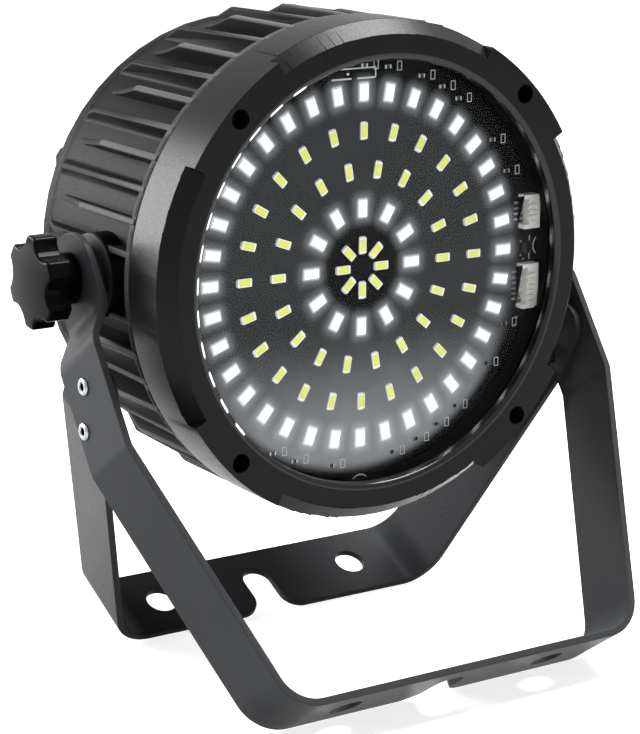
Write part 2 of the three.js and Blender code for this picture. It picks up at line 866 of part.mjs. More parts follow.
// The points of a line with round corners, moved sideways to the left of its direction
function foldedLine(corners, offset) {
  const sides = corners.slice(1).map((corner, index) => {
    const from = corners[index].at;
    const direction = corner.at.clone().sub(from).normalize();
    const left = new THREE.Vector2(-direction.y, direction.x);
    return { direction, left, start: from.clone().addScaledVector(left, offset) };
  });
  const points = [sides[0].start.clone()];
  for (let index = 1; index < sides.length; index += 1) {
    const before = sides[index - 1];
    const after = sides[index];
    const turn = before.direction.cross(after.direction);
    const along = after.start.clone().sub(before.start).cross(after.direction) / turn;
    const apex = before.start.clone().addScaledVector(before.direction, along);
    const radius = corners[index].radius - Math.sign(turn) * offset;
    const angle = Math.asin(Math.abs(turn));
    const swing = before.direction.dot(after.direction) < 0 ? Math.PI - angle : angle;
    const reach = radius * Math.tan(swing / 2);
    const start = apex.clone().addScaledVector(before.direction, -reach);
    const centre = start.clone().addScaledVector(before.left, Math.sign(turn) * radius);
    for (let step = 0; step <= arcSteps; step += 1) {
      const part = Math.sign(turn) * swing * step / arcSteps;
      points.push(start.clone().rotateAround(centre, part));
    }
  }
  const last = sides[sides.length - 1];
  points.push(corners[corners.length - 1].at.clone().addScaledVector(last.left, offset));
  return points;
}

// A bracket strip, folded from its outer line and as wide as the strip, with its middle on Y = 0
function foldedStrip(corners, width) {
  const outer = foldedLine(corners, 0);
  const inner = foldedLine(corners, -stripThickness);
  const outline = new THREE.Shape([...outer, ...inner.reverse()]);
  const geometry = new THREE.ExtrudeGeometry(outline, { depth: width, bevelEnabled: false });
  geometry.translate(0, 0, -width / 2);
  geometry.rotateX(Math.PI / 2);
  return solidFrom(geometry);
}

// What is left of a strip when its two upper ends are rounded, seen from the side
function roundedEnds(width, top, corner, bottom, halfSpan) {
  const edge = width / 2;
  const outline = new THREE.Shape();
  outline.moveTo(-edge, bottom);
  outline.lineTo(edge, bottom);
  outline.absarc(edge - corner, top - corner, corner, 0, Math.PI / 2, false);
  outline.absarc(corner - edge, top - corner, corner, Math.PI / 2, Math.PI, false);
  const geometry = new THREE.ExtrudeGeometry(outline, {
    depth: 2 * halfSpan, bevelEnabled: false, curveSegments: notchSteps,
  });
  geometry.translate(0, 0, -halfSpan);
  const toX = new THREE.Matrix4().makeBasis(
    new THREE.Vector3(0, 1, 0), new THREE.Vector3(0, 0, 1), new THREE.Vector3(1, 0, 0),
  );
  geometry.applyMatrix4(toX);
  return solidFrom(geometry);
}

// Two round holes and a notch open to the side of the bar given by sign
function barCuts(width, barFace, sign) {
  const low = barFace - overrun;
  const high = barFace + stripThickness + overrun;
  const half = notchWidth / 2;
  const edge = width / 2;
  const mouth = new THREE.Shape();
  mouth.moveTo(-half - notchMouthRadius, edge + overrun);
  mouth.absarc(-half - notchMouthRadius, edge - notchMouthRadius, notchMouthRadius, Math.PI / 2, 0, true);
  mouth.absarc(0, 0, half, Math.PI, 2 * Math.PI, false);
  mouth.absarc(half + notchMouthRadius, edge - notchMouthRadius, notchMouthRadius, Math.PI, Math.PI / 2, true);
  mouth.lineTo(half + notchMouthRadius, edge + overrun);
  const notch = raised(mouth, low, high, notchSteps).rotate([0, 0, sign > 0 ? 0 : 180]);
  const hole = rod(barHoleRadius, low, high);
  return joined([notch, hole.translate([-barHolePitch, 0, 0]), hole.translate([barHolePitch, 0, 0])])
    .translate([barPatternShift, 0, 0]);
}

// Length of a leg from the pivot to its bar's outer face, when the bar's inner edge meets the floor
function legReach(lean, width, aheadOfPivot, leansForward) {
  const sideways = leansForward ? width / 2 - aheadOfPivot : width / 2 + aheadOfPivot;
  return (axisHeight - sideways * Math.sin(radians(lean))) / Math.cos(radians(lean));
}

const frontReach = legReach(frontLean, frontWidth, frontAhead, true);
const rearReach = legReach(rearLean, rearWidth, rearAhead, false);

function corner(x, z, radius = 0) {
  return { at: new THREE.Vector2(x, z), radius };
}

// Both halves of a strip's outer line: down the right side as given, and up the left as its mirror
function bothSides(right) {
  const left = right.map(({ at, radius }) => corner(-at.x, at.y, radius)).reverse();
  return [...right, ...left];
}

// Heights of the two rivets on each side, from the pivot, and their holes through all the legs
const rivetHeights = { upper: rivetUpper, lower: rivetUpper - rivetPitch };

function rivetHoles() {
  const reach = legFace + overrun;
  const hole = toSide(rod(rivetRadius + seatGap, -reach, reach, smallSteps), 1);
  return joined(Object.values(rivetHeights).map((z) => hole.translate([0, -rivetAhead, z])));
}

function frontBracket() {
  const top = frontWidth / 2;
  const strip = foldedStrip(bothSides([
    corner(earFace, top + overrun),
    corner(earFace, joggleTop, joggleRadius),
    corner(legFace, joggleEnd, joggleRadius + stripThickness),
    corner(legFace, frontElbow, elbowRadius),
    corner(frontCorner, -frontReach, foldRadius),
  ]), frontWidth);
  const ends = roundedEnds(frontWidth, top, top, -frontReach - overrun, legFace + overrun);
  const earHole = rod(earHoleRadius, -earFace - overrun, earFace + overrun);
  return strip.intersect(ends)
    .subtract(barCuts(frontWidth, -frontReach, 1))
    .translate([0, -frontAhead, 0])
    .subtract(toSide(earHole, 1))
    .rotate([-frontLean, 0, 0])
    .subtract(rivetHoles());
}

function rearBracket() {
  const strip = foldedStrip(bothSides([
    corner(rearLegFace, rearTop + overrun),
    corner(rearLegFace, rearElbow, elbowRadius),
    corner(rearCorner, -rearReach, foldRadius),
  ]), rearWidth);
  const ends = roundedEnds(rearWidth, rearTop, rearTopCorner, -rearReach - overrun, legFace + overrun);
  // The top is cut square to the front leg, just below the fold that leads to its ear
  const joggleRoom = block(
    2 * legFace, 4 * rearWidth, joggleEnd - joggleClearance, joggleTop + frontWidth,
  ).rotate([-frontLean, 0, 0]);
  return strip.intersect(ends)
    .subtract(barCuts(rearWidth, -rearReach, -1))
    .translate([0, -rearAhead, 0])
    .rotate([rearLean, 0, 0])
    .subtract(joggleRoom)
    .subtract(rivetHoles());
}

// Blind rivet through both legs on one side, with its middle on the local Z axis
function rivet() {
  return turned([
    [0, rearLegInner - seatGap - rivetTailHeight],
    [rivetTailRadius, rearLegInner - seatGap - rivetTailHeight],
    [rivetTailRadius, rearLegInner - seatGap],
    [rivetRadius, rearLegInner - seatGap],
    [rivetRadius, legFace + seatGap],
    [rivetHeadRadius, legFace + seatGap],
    [rivetHeadRadius * Math.SQRT1_2, legFace + seatGap + rivetHeadHeight],
    [rivetBore, legFace + seatGap + rivetHeadHeight],
    [rivetBore, legFace + seatGap + rivetHeadHeight - rivetBoreDepth],
    [0, legFace + seatGap + rivetHeadHeight - rivetBoreDepth],
  ], smallSteps);
}

// Clamp knob along local Z: a lobed grip on a round hub, bored for its stud
function clampKnob() {
  const middle = (knobCrest + knobFlute) / 2;
  const depth = (knobCrest - knobFlute) / 2;
  const points = [];
  for (let index = 0; index < knobSteps; index += 1) {
    const degrees = index * 360 / knobSteps;
    const radius = middle + depth * Math.cos(knobLobes * radians(degrees - knobPhase));
    const [x, y] = around(radius, degrees);
    points.push(new THREE.Vector2(x, y));
  }
  const geometry = new THREE.ExtrudeGeometry(new THREE.Shape(points), {
    depth: knobThickness - 2 * knobChamfer,
    bevelSize: knobChamfer, bevelThickness: knobChamfer, bevelOffset: -knobChamfer, bevelSegments: 1,
  });
  geometry.translate(0, 0, knobFace - knobThickness + knobChamfer);
  const hub = rod(knobHubRadius, knobBack, knobFace - knobThickness / 2);
  const bore = rod(studRadius + seatGap, knobBack - overrun, knobBack + studInKnob + seatGap);
  return solidFrom(geometry).add(hub).subtract(bore);
}

// The head, built round the lamp's axis as local Z, which then points to the front
const head = new THREE.Group();
head.position.set(0, 0, axisHeight);
head.rotation.x = Math.PI / 2;

addPiece(head, 'front_bezel', frontBezel(), materials.housing);
addPiece(head, 'front_lens', rod(boardRadius, lensBack, lensFront, ringSteps), materials.lens);
addPiece(
  head, 'lens_gasket',
  tube(boardRadius, boardRadius - gasketWidth, gasketFront - gasketThickness, gasketFront),
  materials.rubber,
);
addPiece(head, 'board_spacer_ring', spacerRing(), materials.housing);
addPiece(head, 'led_board', ledBoard(), materials.board);
for (const { name, pins, offset } of connectors) {
  addPiece(head, name, ledConnector(pins, offset), materials.nylon);
}
for (const [name, angle] of [['led_board_screw_right', 0], ['led_board_screw_left', 180]]) {
  const length = boardTop + seatGap - plateBack;
  const screw = panScrew(
    boardScrewHeadRadius, boardScrewHeadHeight, boardScrewRadius, length, boardTop + seatGap,
  );
  addPiece(head, name, screw.translate(around(boardScrewCircle, angle)), materials.steel);
}
addPiece(head, 'mounting_plate', mountingPlate(), materials.bright);
addPiece(head, 'housing', drumHousing(), materials.housing);
addPiece(head, 'rear_cover', rearCover(), materials.housing);

for (let index = 0; index < screwCount; index += 1) {
  const angle = firstScrewAngle + index * 360 / screwCount;
  const frontSeat = bezelFront - counterboreDepth + seatGap;
  const front = panScrew(screwHeadRadius, screwHeadHeight, screwRadius, bezelScrewLength, frontSeat);
  const rearSeat = -(coverFace + screwHeadHeight - seatGap);
  const rear = panScrew(screwHeadRadius, screwHeadHeight, screwRadius, coverScrewLength, rearSeat)
    .rotate([180, 0, 0]);
  const label = index + 1;
  addPiece(head, `bezel_screw_${label}`, front.translate(around(bezelScrewCircle, angle)), materials.steel);
  addPiece(head, `cover_screw_${label}`, rear.translate(around(coverScrewCircle, angle)), materials.steel);
}
footAngles.forEach((angle, index) => {
  addPiece(head, `foot_${index + 1}`, foot().translate(around(footCircle, angle)), materials.rubber);
});

// What the rear cover carries
addPiece(
  head, 'display_window',
  block(displayWidth, displayTall, coverFace, coverFace + windowThickness).translate([0, displayAt, 0]),
  materials.lens,
);
const moduleWidth = displayWidth - 2 * (windowLedge + moduleInset);
const moduleTall = displayTall - 2 * (windowLedge + moduleInset);
addPiece(
  head, 'display_module',
  block(moduleWidth, moduleTall, coverFace + windowThickness + seatGap, controlFace - seatGap)
    .translate([0, displayAt, 0]),
  materials.board,
);
addPiece(head, 'control_board', controlBoard(), materials.circuit);
buttonNames.forEach((name, index) => {
  addPiece(head, name, pushButton().translate([buttonPlace(index), buttonAt, 0]), materials.rubber);
});
addPiece(head, 'data_inlet', dataInlet().translate([-dataSpread, dataAt, 0]), materials.knob);
addPiece(head, 'data_outlet', dataOutlet().translate([dataSpread, dataAt, 0]), materials.knob);
addPiece(head, 'power_inlet', powerInlet().translate([-powerSpread, powerAt, 0]), materials.knob);
addPiece(head, 'power_outlet', powerOutlet().translate([powerSpread, powerAt, 0]), materials.knob);
addPiece(head, 'fuse_holder', fuseHolder().translate([0, fuseAt, 0]), materials.knob);
addPiece(head, 'fuse_cap', fuseCap().translate([0, fuseAt, 0]), materials.knob);

// Power supply and the leads behind the board
const componentFace = supplyBack - seatGap;
addPiece(head, 'power_supply_board', supplyBoard(), materials.circuit);
addPiece(
  head, 'transformer',
  block(transformerWidth, transformerTall, componentFace - transformerHeight, componentFace)
    .translate([transformerAt.x, transformerAt.y, 0]),
  materials.nylon,
);
addPiece(
  head, 'capacitor',
  rod(capacitorRadius, componentFace - capacitorHeight, componentFace)
    .translate([capacitorAt.x, capacitorAt.y, 0]),
  materials.knob,
);
const leadStraight = 2 * leadRadius;
const mainsStart = coverFace + powerDepth + 2 * seatGap;
const leadEnd = supplyBack - 2 * seatGap;
addPiece(head, 'mains_lead', lead([
  [-powerSpread, powerAt, mainsStart],
  [-powerSpread, powerAt, mainsStart + leadStraight],
  [-(loomEdge + powerSpread) / 2, powerAt * 3 / 4, (mainsStart + leadEnd) / 2],
  [-loomEdge, powerAt / 2, leadEnd - leadStraight],
  [-loomEdge, powerAt / 2, leadEnd],
]), materials.rubber);
const loomStart = controlBack + 2 * seatGap;
const loomAt = controlAt - controlTall / 2 + 2 * standoffInset;
addPiece(head, 'wiring_loom', lead([
  [controlWidth / 4, loomAt, loomStart],
  [controlWidth / 4, loomAt, loomStart + leadStraight],
  [(controlWidth / 4 + loomEdge) / 2, loomAt / 2, (loomStart + leadEnd) / 2],
  [loomEdge, 0, leadEnd - leadStraight],
  [loomEdge, 0, leadEnd],
]), materials.rubber);

// The stand and what turns on the pivot, built from the pivot axis
const stand = new THREE.Group();
stand.position.set(0, pivotSetback, axisHeight);
addPiece(stand, 'front_bracket', frontBracket(), materials.bracket);
addPiece(stand, 'rear_bracket', rearBracket(), materials.bracket);

for (const [side, sign] of [['left', -1], ['right', 1]]) {
  for (const [level, z] of Object.entries(rivetHeights)) {
    const placed = toSide(rivet(), sign).translate([0, -rivetAhead, z]);
    addPiece(stand, `rivet_${side}_${level}`, placed, materials.bright);
  }
  const bore = studRadius + seatGap;
  const insert = tube(insertRadius, bore, insertFace - insertLength, insertFace, roundSteps);
  addPiece(stand, `pivot_insert_${side}`, toSide(insert, sign), materials.brass);
  const spacer = tube(spacerRadius, bore, bossFace + seatGap, earInner - seatGap, roundSteps);
  addPiece(stand, `pivot_spacer_${side}`, toSide(spacer, sign), materials.rubber);
  const studEnd = knobBack + studInKnob;
  const stud = rod(studRadius, studEnd - studReach, studEnd, smallSteps);
  addPiece(stand, `knob_stud_${side}`, toSide(stud, sign), materials.bright);
  addPiece(stand, `clamp_knob_${side}`, toSide(clampKnob(), sign), materials.knob);
}

// The whole lamp, centred over the origin on the floor
const strobeLight = new THREE.Group();
const assembly = new THREE.Group();
assembly.add(head, stand);
strobeLight.add(assembly);
strobeLight.updateMatrixWorld(true);
const bounds = new THREE.Box3().setFromObject(assembly, true);
const centre = bounds.getCenter(new THREE.Vector3());
assembly.position.set(-centre.x, -centre.y, -bounds.min.z);

export default strobeLight;
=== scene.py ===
import math
from functools import partial

import bmesh
import bpy
from mathutils import Matrix, Vector


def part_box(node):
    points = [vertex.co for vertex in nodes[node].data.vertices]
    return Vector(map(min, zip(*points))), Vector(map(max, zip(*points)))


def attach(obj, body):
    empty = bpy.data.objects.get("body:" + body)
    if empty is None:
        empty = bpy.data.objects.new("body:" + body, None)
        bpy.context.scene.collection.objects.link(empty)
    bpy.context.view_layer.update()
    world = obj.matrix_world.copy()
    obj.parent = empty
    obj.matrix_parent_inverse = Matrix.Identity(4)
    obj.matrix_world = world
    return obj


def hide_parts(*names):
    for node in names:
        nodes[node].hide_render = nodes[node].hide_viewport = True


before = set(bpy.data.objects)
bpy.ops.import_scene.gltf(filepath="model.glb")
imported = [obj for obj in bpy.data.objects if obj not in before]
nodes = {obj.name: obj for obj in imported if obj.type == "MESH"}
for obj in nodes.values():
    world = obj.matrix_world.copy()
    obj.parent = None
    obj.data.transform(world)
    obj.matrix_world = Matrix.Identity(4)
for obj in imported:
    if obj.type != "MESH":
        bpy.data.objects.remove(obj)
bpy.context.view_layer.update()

mm = 0.001
nearly = 0.0005  # points nearer than this, in millimetres, are one point

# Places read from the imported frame, in metres
bezelLow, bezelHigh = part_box("front_bezel")
knobLow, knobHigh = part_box("clamp_knob_right")
axisHeight = (bezelLow.z + bezelHigh.z) / 2
headY = bezelLow.y + 15 * mm  # the level of the LEDs, 15 mm behind the bezel's face
pivotY = (knobLow.y + knobHigh.y) / 2


# Selecting, and the few modelling moves that repeat
def deselect():
    if bpy.context.object and bpy.context.object.mode != "OBJECT":
        bpy.ops.object.mode_set(mode="OBJECT")
    bpy.ops.object.select_all(action="DESELECT")


def alone(*objs):
    deselect()
    for obj in objs:
        obj.select_set(True)
    bpy.context.view_layer.objects.active = objs[0]


def freeze(obj):  # puts its place, turn and size into the mesh
    bpy.ops.object.transform_apply(location=True, rotation=True, scale=True)
    return obj


def editAll(obj, kind="VERT"):
    alone(obj)
    bpy.ops.object.mode_set(mode="EDIT")
    bpy.ops.mesh.select_mode(type=kind)
    bpy.ops.mesh.select_all(action="SELECT")


def pick(obj, wanted, kind="FACE"):  # in edit mode, selects only what wanted(middle, part) says
    editAll(obj, kind)
    bpy.ops.mesh.select_all(action="DESELECT")
    shape = bmesh.from_edit_mesh(obj.data)
    for part in shape.edges if kind == "EDGE" else shape.faces:
        middle = sum((corner.co for corner in part.verts), Vector()) / len(part.verts)
        part.select_set(bool(wanted(middle, part)))
    shape.select_flush_mode()
    bmesh.update_edit_mesh(obj.data)


def bevelPicked(width, segments):
    bpy.ops.mesh.bevel(offset=width, segments=segments, affect="EDGES")
    bpy.ops.object.mode_set(mode="OBJECT")


def paintPicked(obj):  # gives the picked faces the second material
    obj.active_material_index = 1
    bpy.ops.object.material_slot_assign()
    bpy.ops.object.mode_set(mode="OBJECT")


def closeUp(obj, gap=nearly):  # merges doubles and turns every face outwards
    editAll(obj)
    bpy.ops.mesh.remove_doubles(threshold=gap)
    bpy.ops.mesh.normals_make_consistent(inside=False)
    bpy.ops.object.mode_set(mode="OBJECT")


def lay(point, plane, depth=0):  # a point of a flat drawing, put in space
    a, b = point
    return {"XZ": (a, depth, b), "XY": (a, b, depth), "YZ": (depth, a, b)}[plane]


def drawLine(name, points, plane="XZ", depth=0, fill=False, closed=True):  # drawn point by point
    deselect()
    bpy.ops.mesh.primitive_plane_add(size=1)
    obj = bpy.context.object
    obj.name = name
    editAll(obj)
    bpy.ops.mesh.merge(type="CENTER")
    bpy.ops.transform.translate(value=lay(points[0], plane, depth))
    path = list(points) + ([points[0]] if closed else [])
    for before, after in zip(path, path[1:]):
        step = Vector(lay(after, plane)) - Vector(lay(before, plane))
        bpy.ops.mesh.extrude_region_move(TRANSFORM_OT_translate={"value": step})
    bpy.ops.mesh.select_all(action="SELECT")
    if closed:
        bpy.ops.mesh.remove_doubles(threshold=nearly)
    if fill:
        bpy.ops.mesh.edge_face_add()
    return obj


def turned(name, profile, steps=96, closed=True, start=0, sweep=360):  # spun round local Z
    obj = drawLine(name, profile, fill=sweep != 360, closed=closed)
    if start:
        turnBy(obj, start)
    editAll(obj)
    turn = -math.radians(sweep)  # a positive angle spins clockwise here
    bpy.ops.mesh.spin(steps=steps, angle=turn, center=(0, 0, 0), axis=(0, 0, 1))
    closeUp(obj)
    return obj


def slab(name, points, low, high, plane="XY"):  # a flat outline, raised from low to high
    obj = drawLine(name, points, plane, low, fill=True)
    editAll(obj)
    rise = lay((0, 0), plane, high - low)
    bpy.ops.mesh.extrude_region_move(TRANSFORM_OT_translate={"value": rise})
    closeUp(obj)
    return obj


def pin(name, radius, low, high, steps=32, at=(0, 0)):  # a round peg along local Z
    deselect()
    bpy.ops.mesh.primitive_cylinder_add(
        vertices=steps, radius=radius, depth=high - low, location=(at[0], at[1], (low + high) / 2),
    )
    bpy.context.object.name = name
    return freeze(bpy.context.object)


def brick(name, size, middle):
    deselect()
    bpy.ops.mesh.primitive_cube_add(size=1, location=middle, scale=size)
    bpy.context.object.name = name
    return freeze(bpy.context.object)


def ringOf(obj, count):  # repeats a shape round local Z, in one mesh
    editAll(obj)
    turn = math.radians(360 * (count - 1) / count)
    bpy.ops.mesh.spin(steps=count - 1, dupli=True, angle=turn, center=(0, 0, 0), axis=(0, 0, 1))
    bpy.ops.object.mode_set(mode="OBJECT")
    return obj


def turnBy(obj, degrees, axis="Z"):  # turns the object's mesh about the origin
    alone(obj)
    angle = {"X": (1, 0, 0), "Y": (0, 1, 0), "Z": (0, 0, 1)}[axis]
    obj.rotation_euler = [math.radians(degrees) * part for part in angle]
    return freeze(obj)


def moveBy(obj, x=0, y=0, z=0):
    alone(obj)
    obj.location = (x, y, z)
    return freeze(obj)


def copyOf(obj):
    twin = obj.copy()
    twin.data = obj.data.copy()
    bpy.context.scene.collection.objects.link(twin)
    return twin


def together(name, *objs):  # several shapes as one object
    alone(*objs)
    if len(objs) > 1:
        bpy.ops.object.join()
    objs[0].name = name
    return objs[0]


def cut(obj, tool, how="DIFFERENCE"):
    alone(obj)
    step = obj.modifiers.new("cut", "BOOLEAN")
    step.operation = how
    step.solver = "EXACT"
    step.use_self = how == "UNION"
    step.object = tool
    bpy.ops.object.modifier_apply(modifier=step.name)
    bpy.data.objects.remove(tool)
    return obj


def softEdges(obj, width, segments=2, above=30):  # rounds the edges and keeps flats looking flat
    alone(obj)
    step = obj.modifiers.new("edges", "BEVEL")
    step.width = width
    step.use_clamp_overlap = False
    step.segments = segments
    step.limit_method = "ANGLE"
    step.angle_limit = math.radians(above)
    bpy.ops.object.modifier_apply(modifier=step.name)
    return evenShade(obj)


def evenShade(obj, above=32):
    alone(obj)
    bpy.ops.object.shade_smooth_by_angle(angle=math.radians(above))
    step = obj.modifiers.new("flats", "WEIGHTED_NORMAL")
    step.keep_sharp = True
    bpy.ops.object.modifier_apply(modifier=step.name)
    return obj


def settle(obj, name, body, material, replaced, spot, turn=(0, 0, 0)):
    alone(obj)  # from millimetres to its place in metres
    obj.scale = (mm, mm, mm)
    obj.rotation_euler = [math.radians(angle) for angle in turn]
    obj.location = spot
    wear(freeze(obj), name, body, material, replaced)


def wear(obj, name, body, material, replaced):
    obj.name = name
    obj.data.name = name
    if not obj.data.materials:
        obj.data.materials.append(material)
    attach(obj, body)
    if replaced:
        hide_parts(*replaced)


headSpot = (0, headY, axisHeight)
headTurn = (90, 0, 0)
pivotSpot = (0, pivotY, axisHeight)


def onHead(obj, name, slot, material, *replaced):
    settle(obj, name, "head", material, replaced, headSpot, headTurn)


def around(radius, degrees):
    return radius * math.cos(math.radians(degrees)), radius * math.sin(math.radians(degrees))


def arc(radius, start, end, steps, centre=(0, 0), last=1):  # last=0 leaves the end point out
    swings = [around(radius, start + (end - start) * step / steps) for step in range(steps + last)]
    return [(centre[0] + x, centre[1] + y) for x, y in swings]


# Colours and nodes
def linear(code):
    channels = [int(code[start:start + 2], 16) / 255 for start in (1, 3, 5)]
    plain = [c / 12.92 if c <= 0.04045 else ((c + 0.055) / 1.055) ** 2.4 for c in channels]
    return (*plain, 1)


def addNode(tree, kind, inputs=None, **settings):  # inputs hold values, or the sockets to link
    node = tree.nodes.new("ShaderNode" + kind)
    for key, value in settings.items():
        setattr(node, key, value)
    for key, value in (inputs or {}).items():
        if isinstance(value, bpy.types.NodeSocket):
            tree.links.new(value, node.inputs[key])
        else:
            node.inputs[key].default_value = value
    return node


def newMaterial(name, **values):  # a Principled material, its tree, its shader and its place
    material = bpy.data.materials.new(name)
    material.use_nodes = True
    tree = material.node_tree
    shader = tree.nodes["Principled BSDF"]
    for key, value in values.items():
        socket = {
            "color": "Base Color", "rough": "Roughness", "metal": "Metallic", "ior": "IOR",
            "specular": "Specular IOR Level", "coat": "Coat Weight", "clear": "Transmission Weight",
            "glow": "Emission Color", "glowPower": "Emission Strength",
        }[key]
        shader.inputs[socket].default_value = value
    place = addNode(tree, "TexCoord").outputs["Object"]
    return material, tree, shader, place


def blend(tree, share, dark, light):
    return addNode(tree, "Mix", {0: share, 6: dark, 7: light}, data_type="RGBA").outputs[2]


def work(tree, kind, a, b=0.0):  # one step of arithmetic on sockets or numbers
    return addNode(tree, "Math", {0: a, 1: b}, operation=kind).outputs[0]


def lengthOf(tree, vector):
    return addNode(tree, "VectorMath", {0: vector}, operation="LENGTH").outputs["Value"]


def softStep(tree, value, start, end, power=1.0):  # 1 at start, 0 at end, in millimetres
    soft = addNode(tree, "MapRange", {
        "Value": value, "From Min": end * mm, "From Max": start * mm, "To Min": 0.0, "To Max": 1.0,
    }, interpolation_type="SMOOTHSTEP")
    return work(tree, "POWER", soft.outputs["Result"], power)


def aroundAxis(tree):  # a place seen along the head's axis: as a vector, across, up and its radius
    place = addNode(tree, "TexCoord").outputs["Object"]
    centred = addNode(
        tree, "Mapping", {"Vector": place, "Location": (0, 0, -axisHeight), "Scale": (1, 0, 1)},
    ).outputs[0]
    parts = addNode(tree, "SeparateXYZ", {"Vector": centred}).outputs
    return centred, parts["X"], parts["Z"], lengthOf(tree, centred)


def fromNearest(tree, across, up, count, first=0):  # the angle to the nearest of count places
    angle = work(tree, "SUBTRACT", work(tree, "ARCTAN2", up, across), math.radians(first))
    turns = work(tree, "ADD", work(tree, "MULTIPLY", angle, count / (2 * math.pi)), 0.5)
    offset = work(tree, "SUBTRACT", work(tree, "FLOORED_MODULO", turns, 1.0), 0.5)
    return work(tree, "MULTIPLY", offset, 2 * math.pi / count)


def grained(name, dark, light, rough, roughSpread, grain, depth, specular=0.5, blotch=18, **values):
    # dark and light are sRGB codes; grain, depth and blotch are in millimetres, and the grains are
    # drawn coarser than real, so that they show when the whole lamp is in the picture
    material, tree, shader, place = newMaterial(name, specular=specular, **values)
    cloud = addNode(tree, "TexNoise", {"Vector": place, "Scale": 1000 / blotch, "Detail": 3})
    shade = blend(tree, cloud.outputs["Fac"], linear(dark), linear(light))
    tree.links.new(shade, shader.inputs["Base Color"])
    fine = addNode(tree, "TexNoise", {
        "Vector": place, "Scale": 1000 / grain, "Detail": 2, "Roughness": 0.6,
    })
    gloss = addNode(tree, "MapRange", {
        "Value": fine.outputs["Fac"], "From Min": 0.3, "From Max": 0.7,
        "To Min": rough - roughSpread, "To Max": rough + roughSpread,
    })
    tree.links.new(gloss.outputs["Result"], shader.inputs["Roughness"])
    relief = addNode(tree, "Bump", {
        "Height": fine.outputs["Fac"], "Distance": depth * mm, "Strength": 1,
    })
    tree.links.new(relief.outputs["Normal"], shader.inputs["Normal"])
    return material


# Injection-moulded ABS, black, spark-eroded: a fine grain that softens every highlight
drumPlastic = grained("black ABS, textured", "#121213", "#19191a", 0.5, 0.06, 0.9, 0.05, specular=0.05)


def paintCrestHighlight(material, highlightTone, highlightShare, start, end):  # painted highlight: the crests paler between two radii
    tree = material.node_tree
    shader = tree.nodes["Principled BSDF"]
    radius = aroundAxis(tree)[-1]
    crestHighlight = addNode(tree, "MapRange", {
        "Value": radius, "From Min": start * mm, "From Max": end * mm, "To Max": highlightShare,
    })
    plain = shader.inputs["Base Color"].links[0].from_socket
    pale = blend(tree, crestHighlight.outputs[0], plain, linear(highlightTone))
    tree.links.new(pale, shader.inputs["Base Color"])


# Painted highlight on the crests of the fins: a paler band that starts just below them
paintCrestHighlight(drumPlastic, "#5c5d5e", 0.75, 89.6, 90.6)
# The same plastic on the front ring, finer and darker
bezelPlastic = grained("black ABS, satin", "#101011", "#151516", 0.32, 0.05, 0.7, 0.02, specular=0.1)
# Polished moulded plastic of the knobs, nearly a mirror at a slant
knobPlastic = grained("black ABS, polished", "#070708", "#0c0c0d", 0.13, 0.02, 1.4, 0.01, specular=0.03)
# The bezel's inner lip, smooth and shiny, carrying painted reflections of the outer LEDs as glowing
# dashes
lipPlastic = grained("black ABS, burnished", "#0a0a0b", "#0e0e0f", 0.16, 0.03, 1.4, 0.01, specular=0.3)
paintedReflections = {
    "count": 43, "first": 118, "radius": 77.55, "long": (2.0, 3.4), "wide": (0.35, 0.85),
    "leftOf": (-51, -46), "slant": 0.2, "power": 2.6,
}


def paintLedReflections(material, s):  # painted reflections of the outer LEDs: short glowing dashes on the lip's round edge
    tree = material.node_tree
    shader = tree.nodes["Principled BSDF"]
    calc = partial(work, tree)
    centred, across, up, radius = aroundAxis(tree)
    swing = calc("ABSOLUTE", fromNearest(tree, across, up, s["count"], s["first"]))
    along = calc("MULTIPLY", swing, s["radius"] * mm)
    beside = calc("ABSOLUTE", calc("SUBTRACT", radius, s["radius"] * mm))
    dash = calc("MULTIPLY", softStep(tree, along, *s["long"]), softStep(tree, beside, *s["wide"]))
    slanted = calc("SUBTRACT", across, calc("MULTIPLY", up, s["slant"]))
    # the painted reflections are kept to the lip's left side
    leftOnly = softStep(tree, slanted, *s["leftOf"])
    power = calc("MULTIPLY", calc("MULTIPLY", dash, leftOnly), s["power"])
    shader.inputs["Emission Color"].default_value = linear("#f4fbff")
    tree.links.new(power, shader.inputs["Emission Strength"])


paintLedReflections(lipPlastic, paintedReflections)
# Polyester powder coat on steel: slight orange peel, dull gloss
powderCoat = grained(
    "anthracite powder coat", "#343537", "#3b3c3e", 0.36, 0.05, 1.1, 0.08, specular=0.035,
)
bareMetal = partial(grained, metal=1.0)
# Black zinc plate on steel screws: dark metal with a soft shine
blackZinc = bareMetal("black zinc plate", "#2a2a2d", "#3a3a3e", 0.34, 0.08, 0.8, 0.01, blotch=3)
# Bright zinc plate on steel: light grey with a faint blue
brightZinc = bareMetal("bright zinc plate", "#b9bcc0", "#cdd0d3", 0.28, 0.07, 0.8, 0.01, blotch=3)
# Bare rolled aluminium: pale, dull, with a fine grain
bareAluminium = bareMetal("bare aluminium", "#8f9194", "#a9abae", 0.3, 0.08, 0.7, 0.02, blotch=4)
# Turned brass: warm yellow metal
turnedBrass = bareMetal("turned brass", "#a98442", "#c09a55", 0.3, 0.06, 0.5, 0.01, blotch=4)
# Black rubber: dead matt with a slightly dusty tone
blackRubber = grained("black rubber", "#101010", "#181818", 0.82, 0.06, 0.8, 0.05, specular=0.3)
# White nylon of the connectors: pale, slightly waxy
whiteNylon = grained("white nylon", "#d4d4ce", "#e6e6e0", 0.45, 0.06, 0.8, 0.02, blotch=6)
# Green solder mask on a glass-fibre board
greenMask = grained("green solder mask", "#173f26", "#1f5232", 0.38, 0.06, 0.7, 0.02, blotch=9)
# Yellow polyester tape round the transformer
yellowTape = grained("yellow polyester tape", "#c9ae3f", "#dcc456", 0.3, 0.05, 1.2, 0.02, blotch=8)
# Tinned copper: soft silvery metal
tinned = bareMetal("tinned copper", "#b8babb", "#d2d3d3", 0.38, 0.08, 0.5, 0.02, blotch=2)
print("finishes ready")


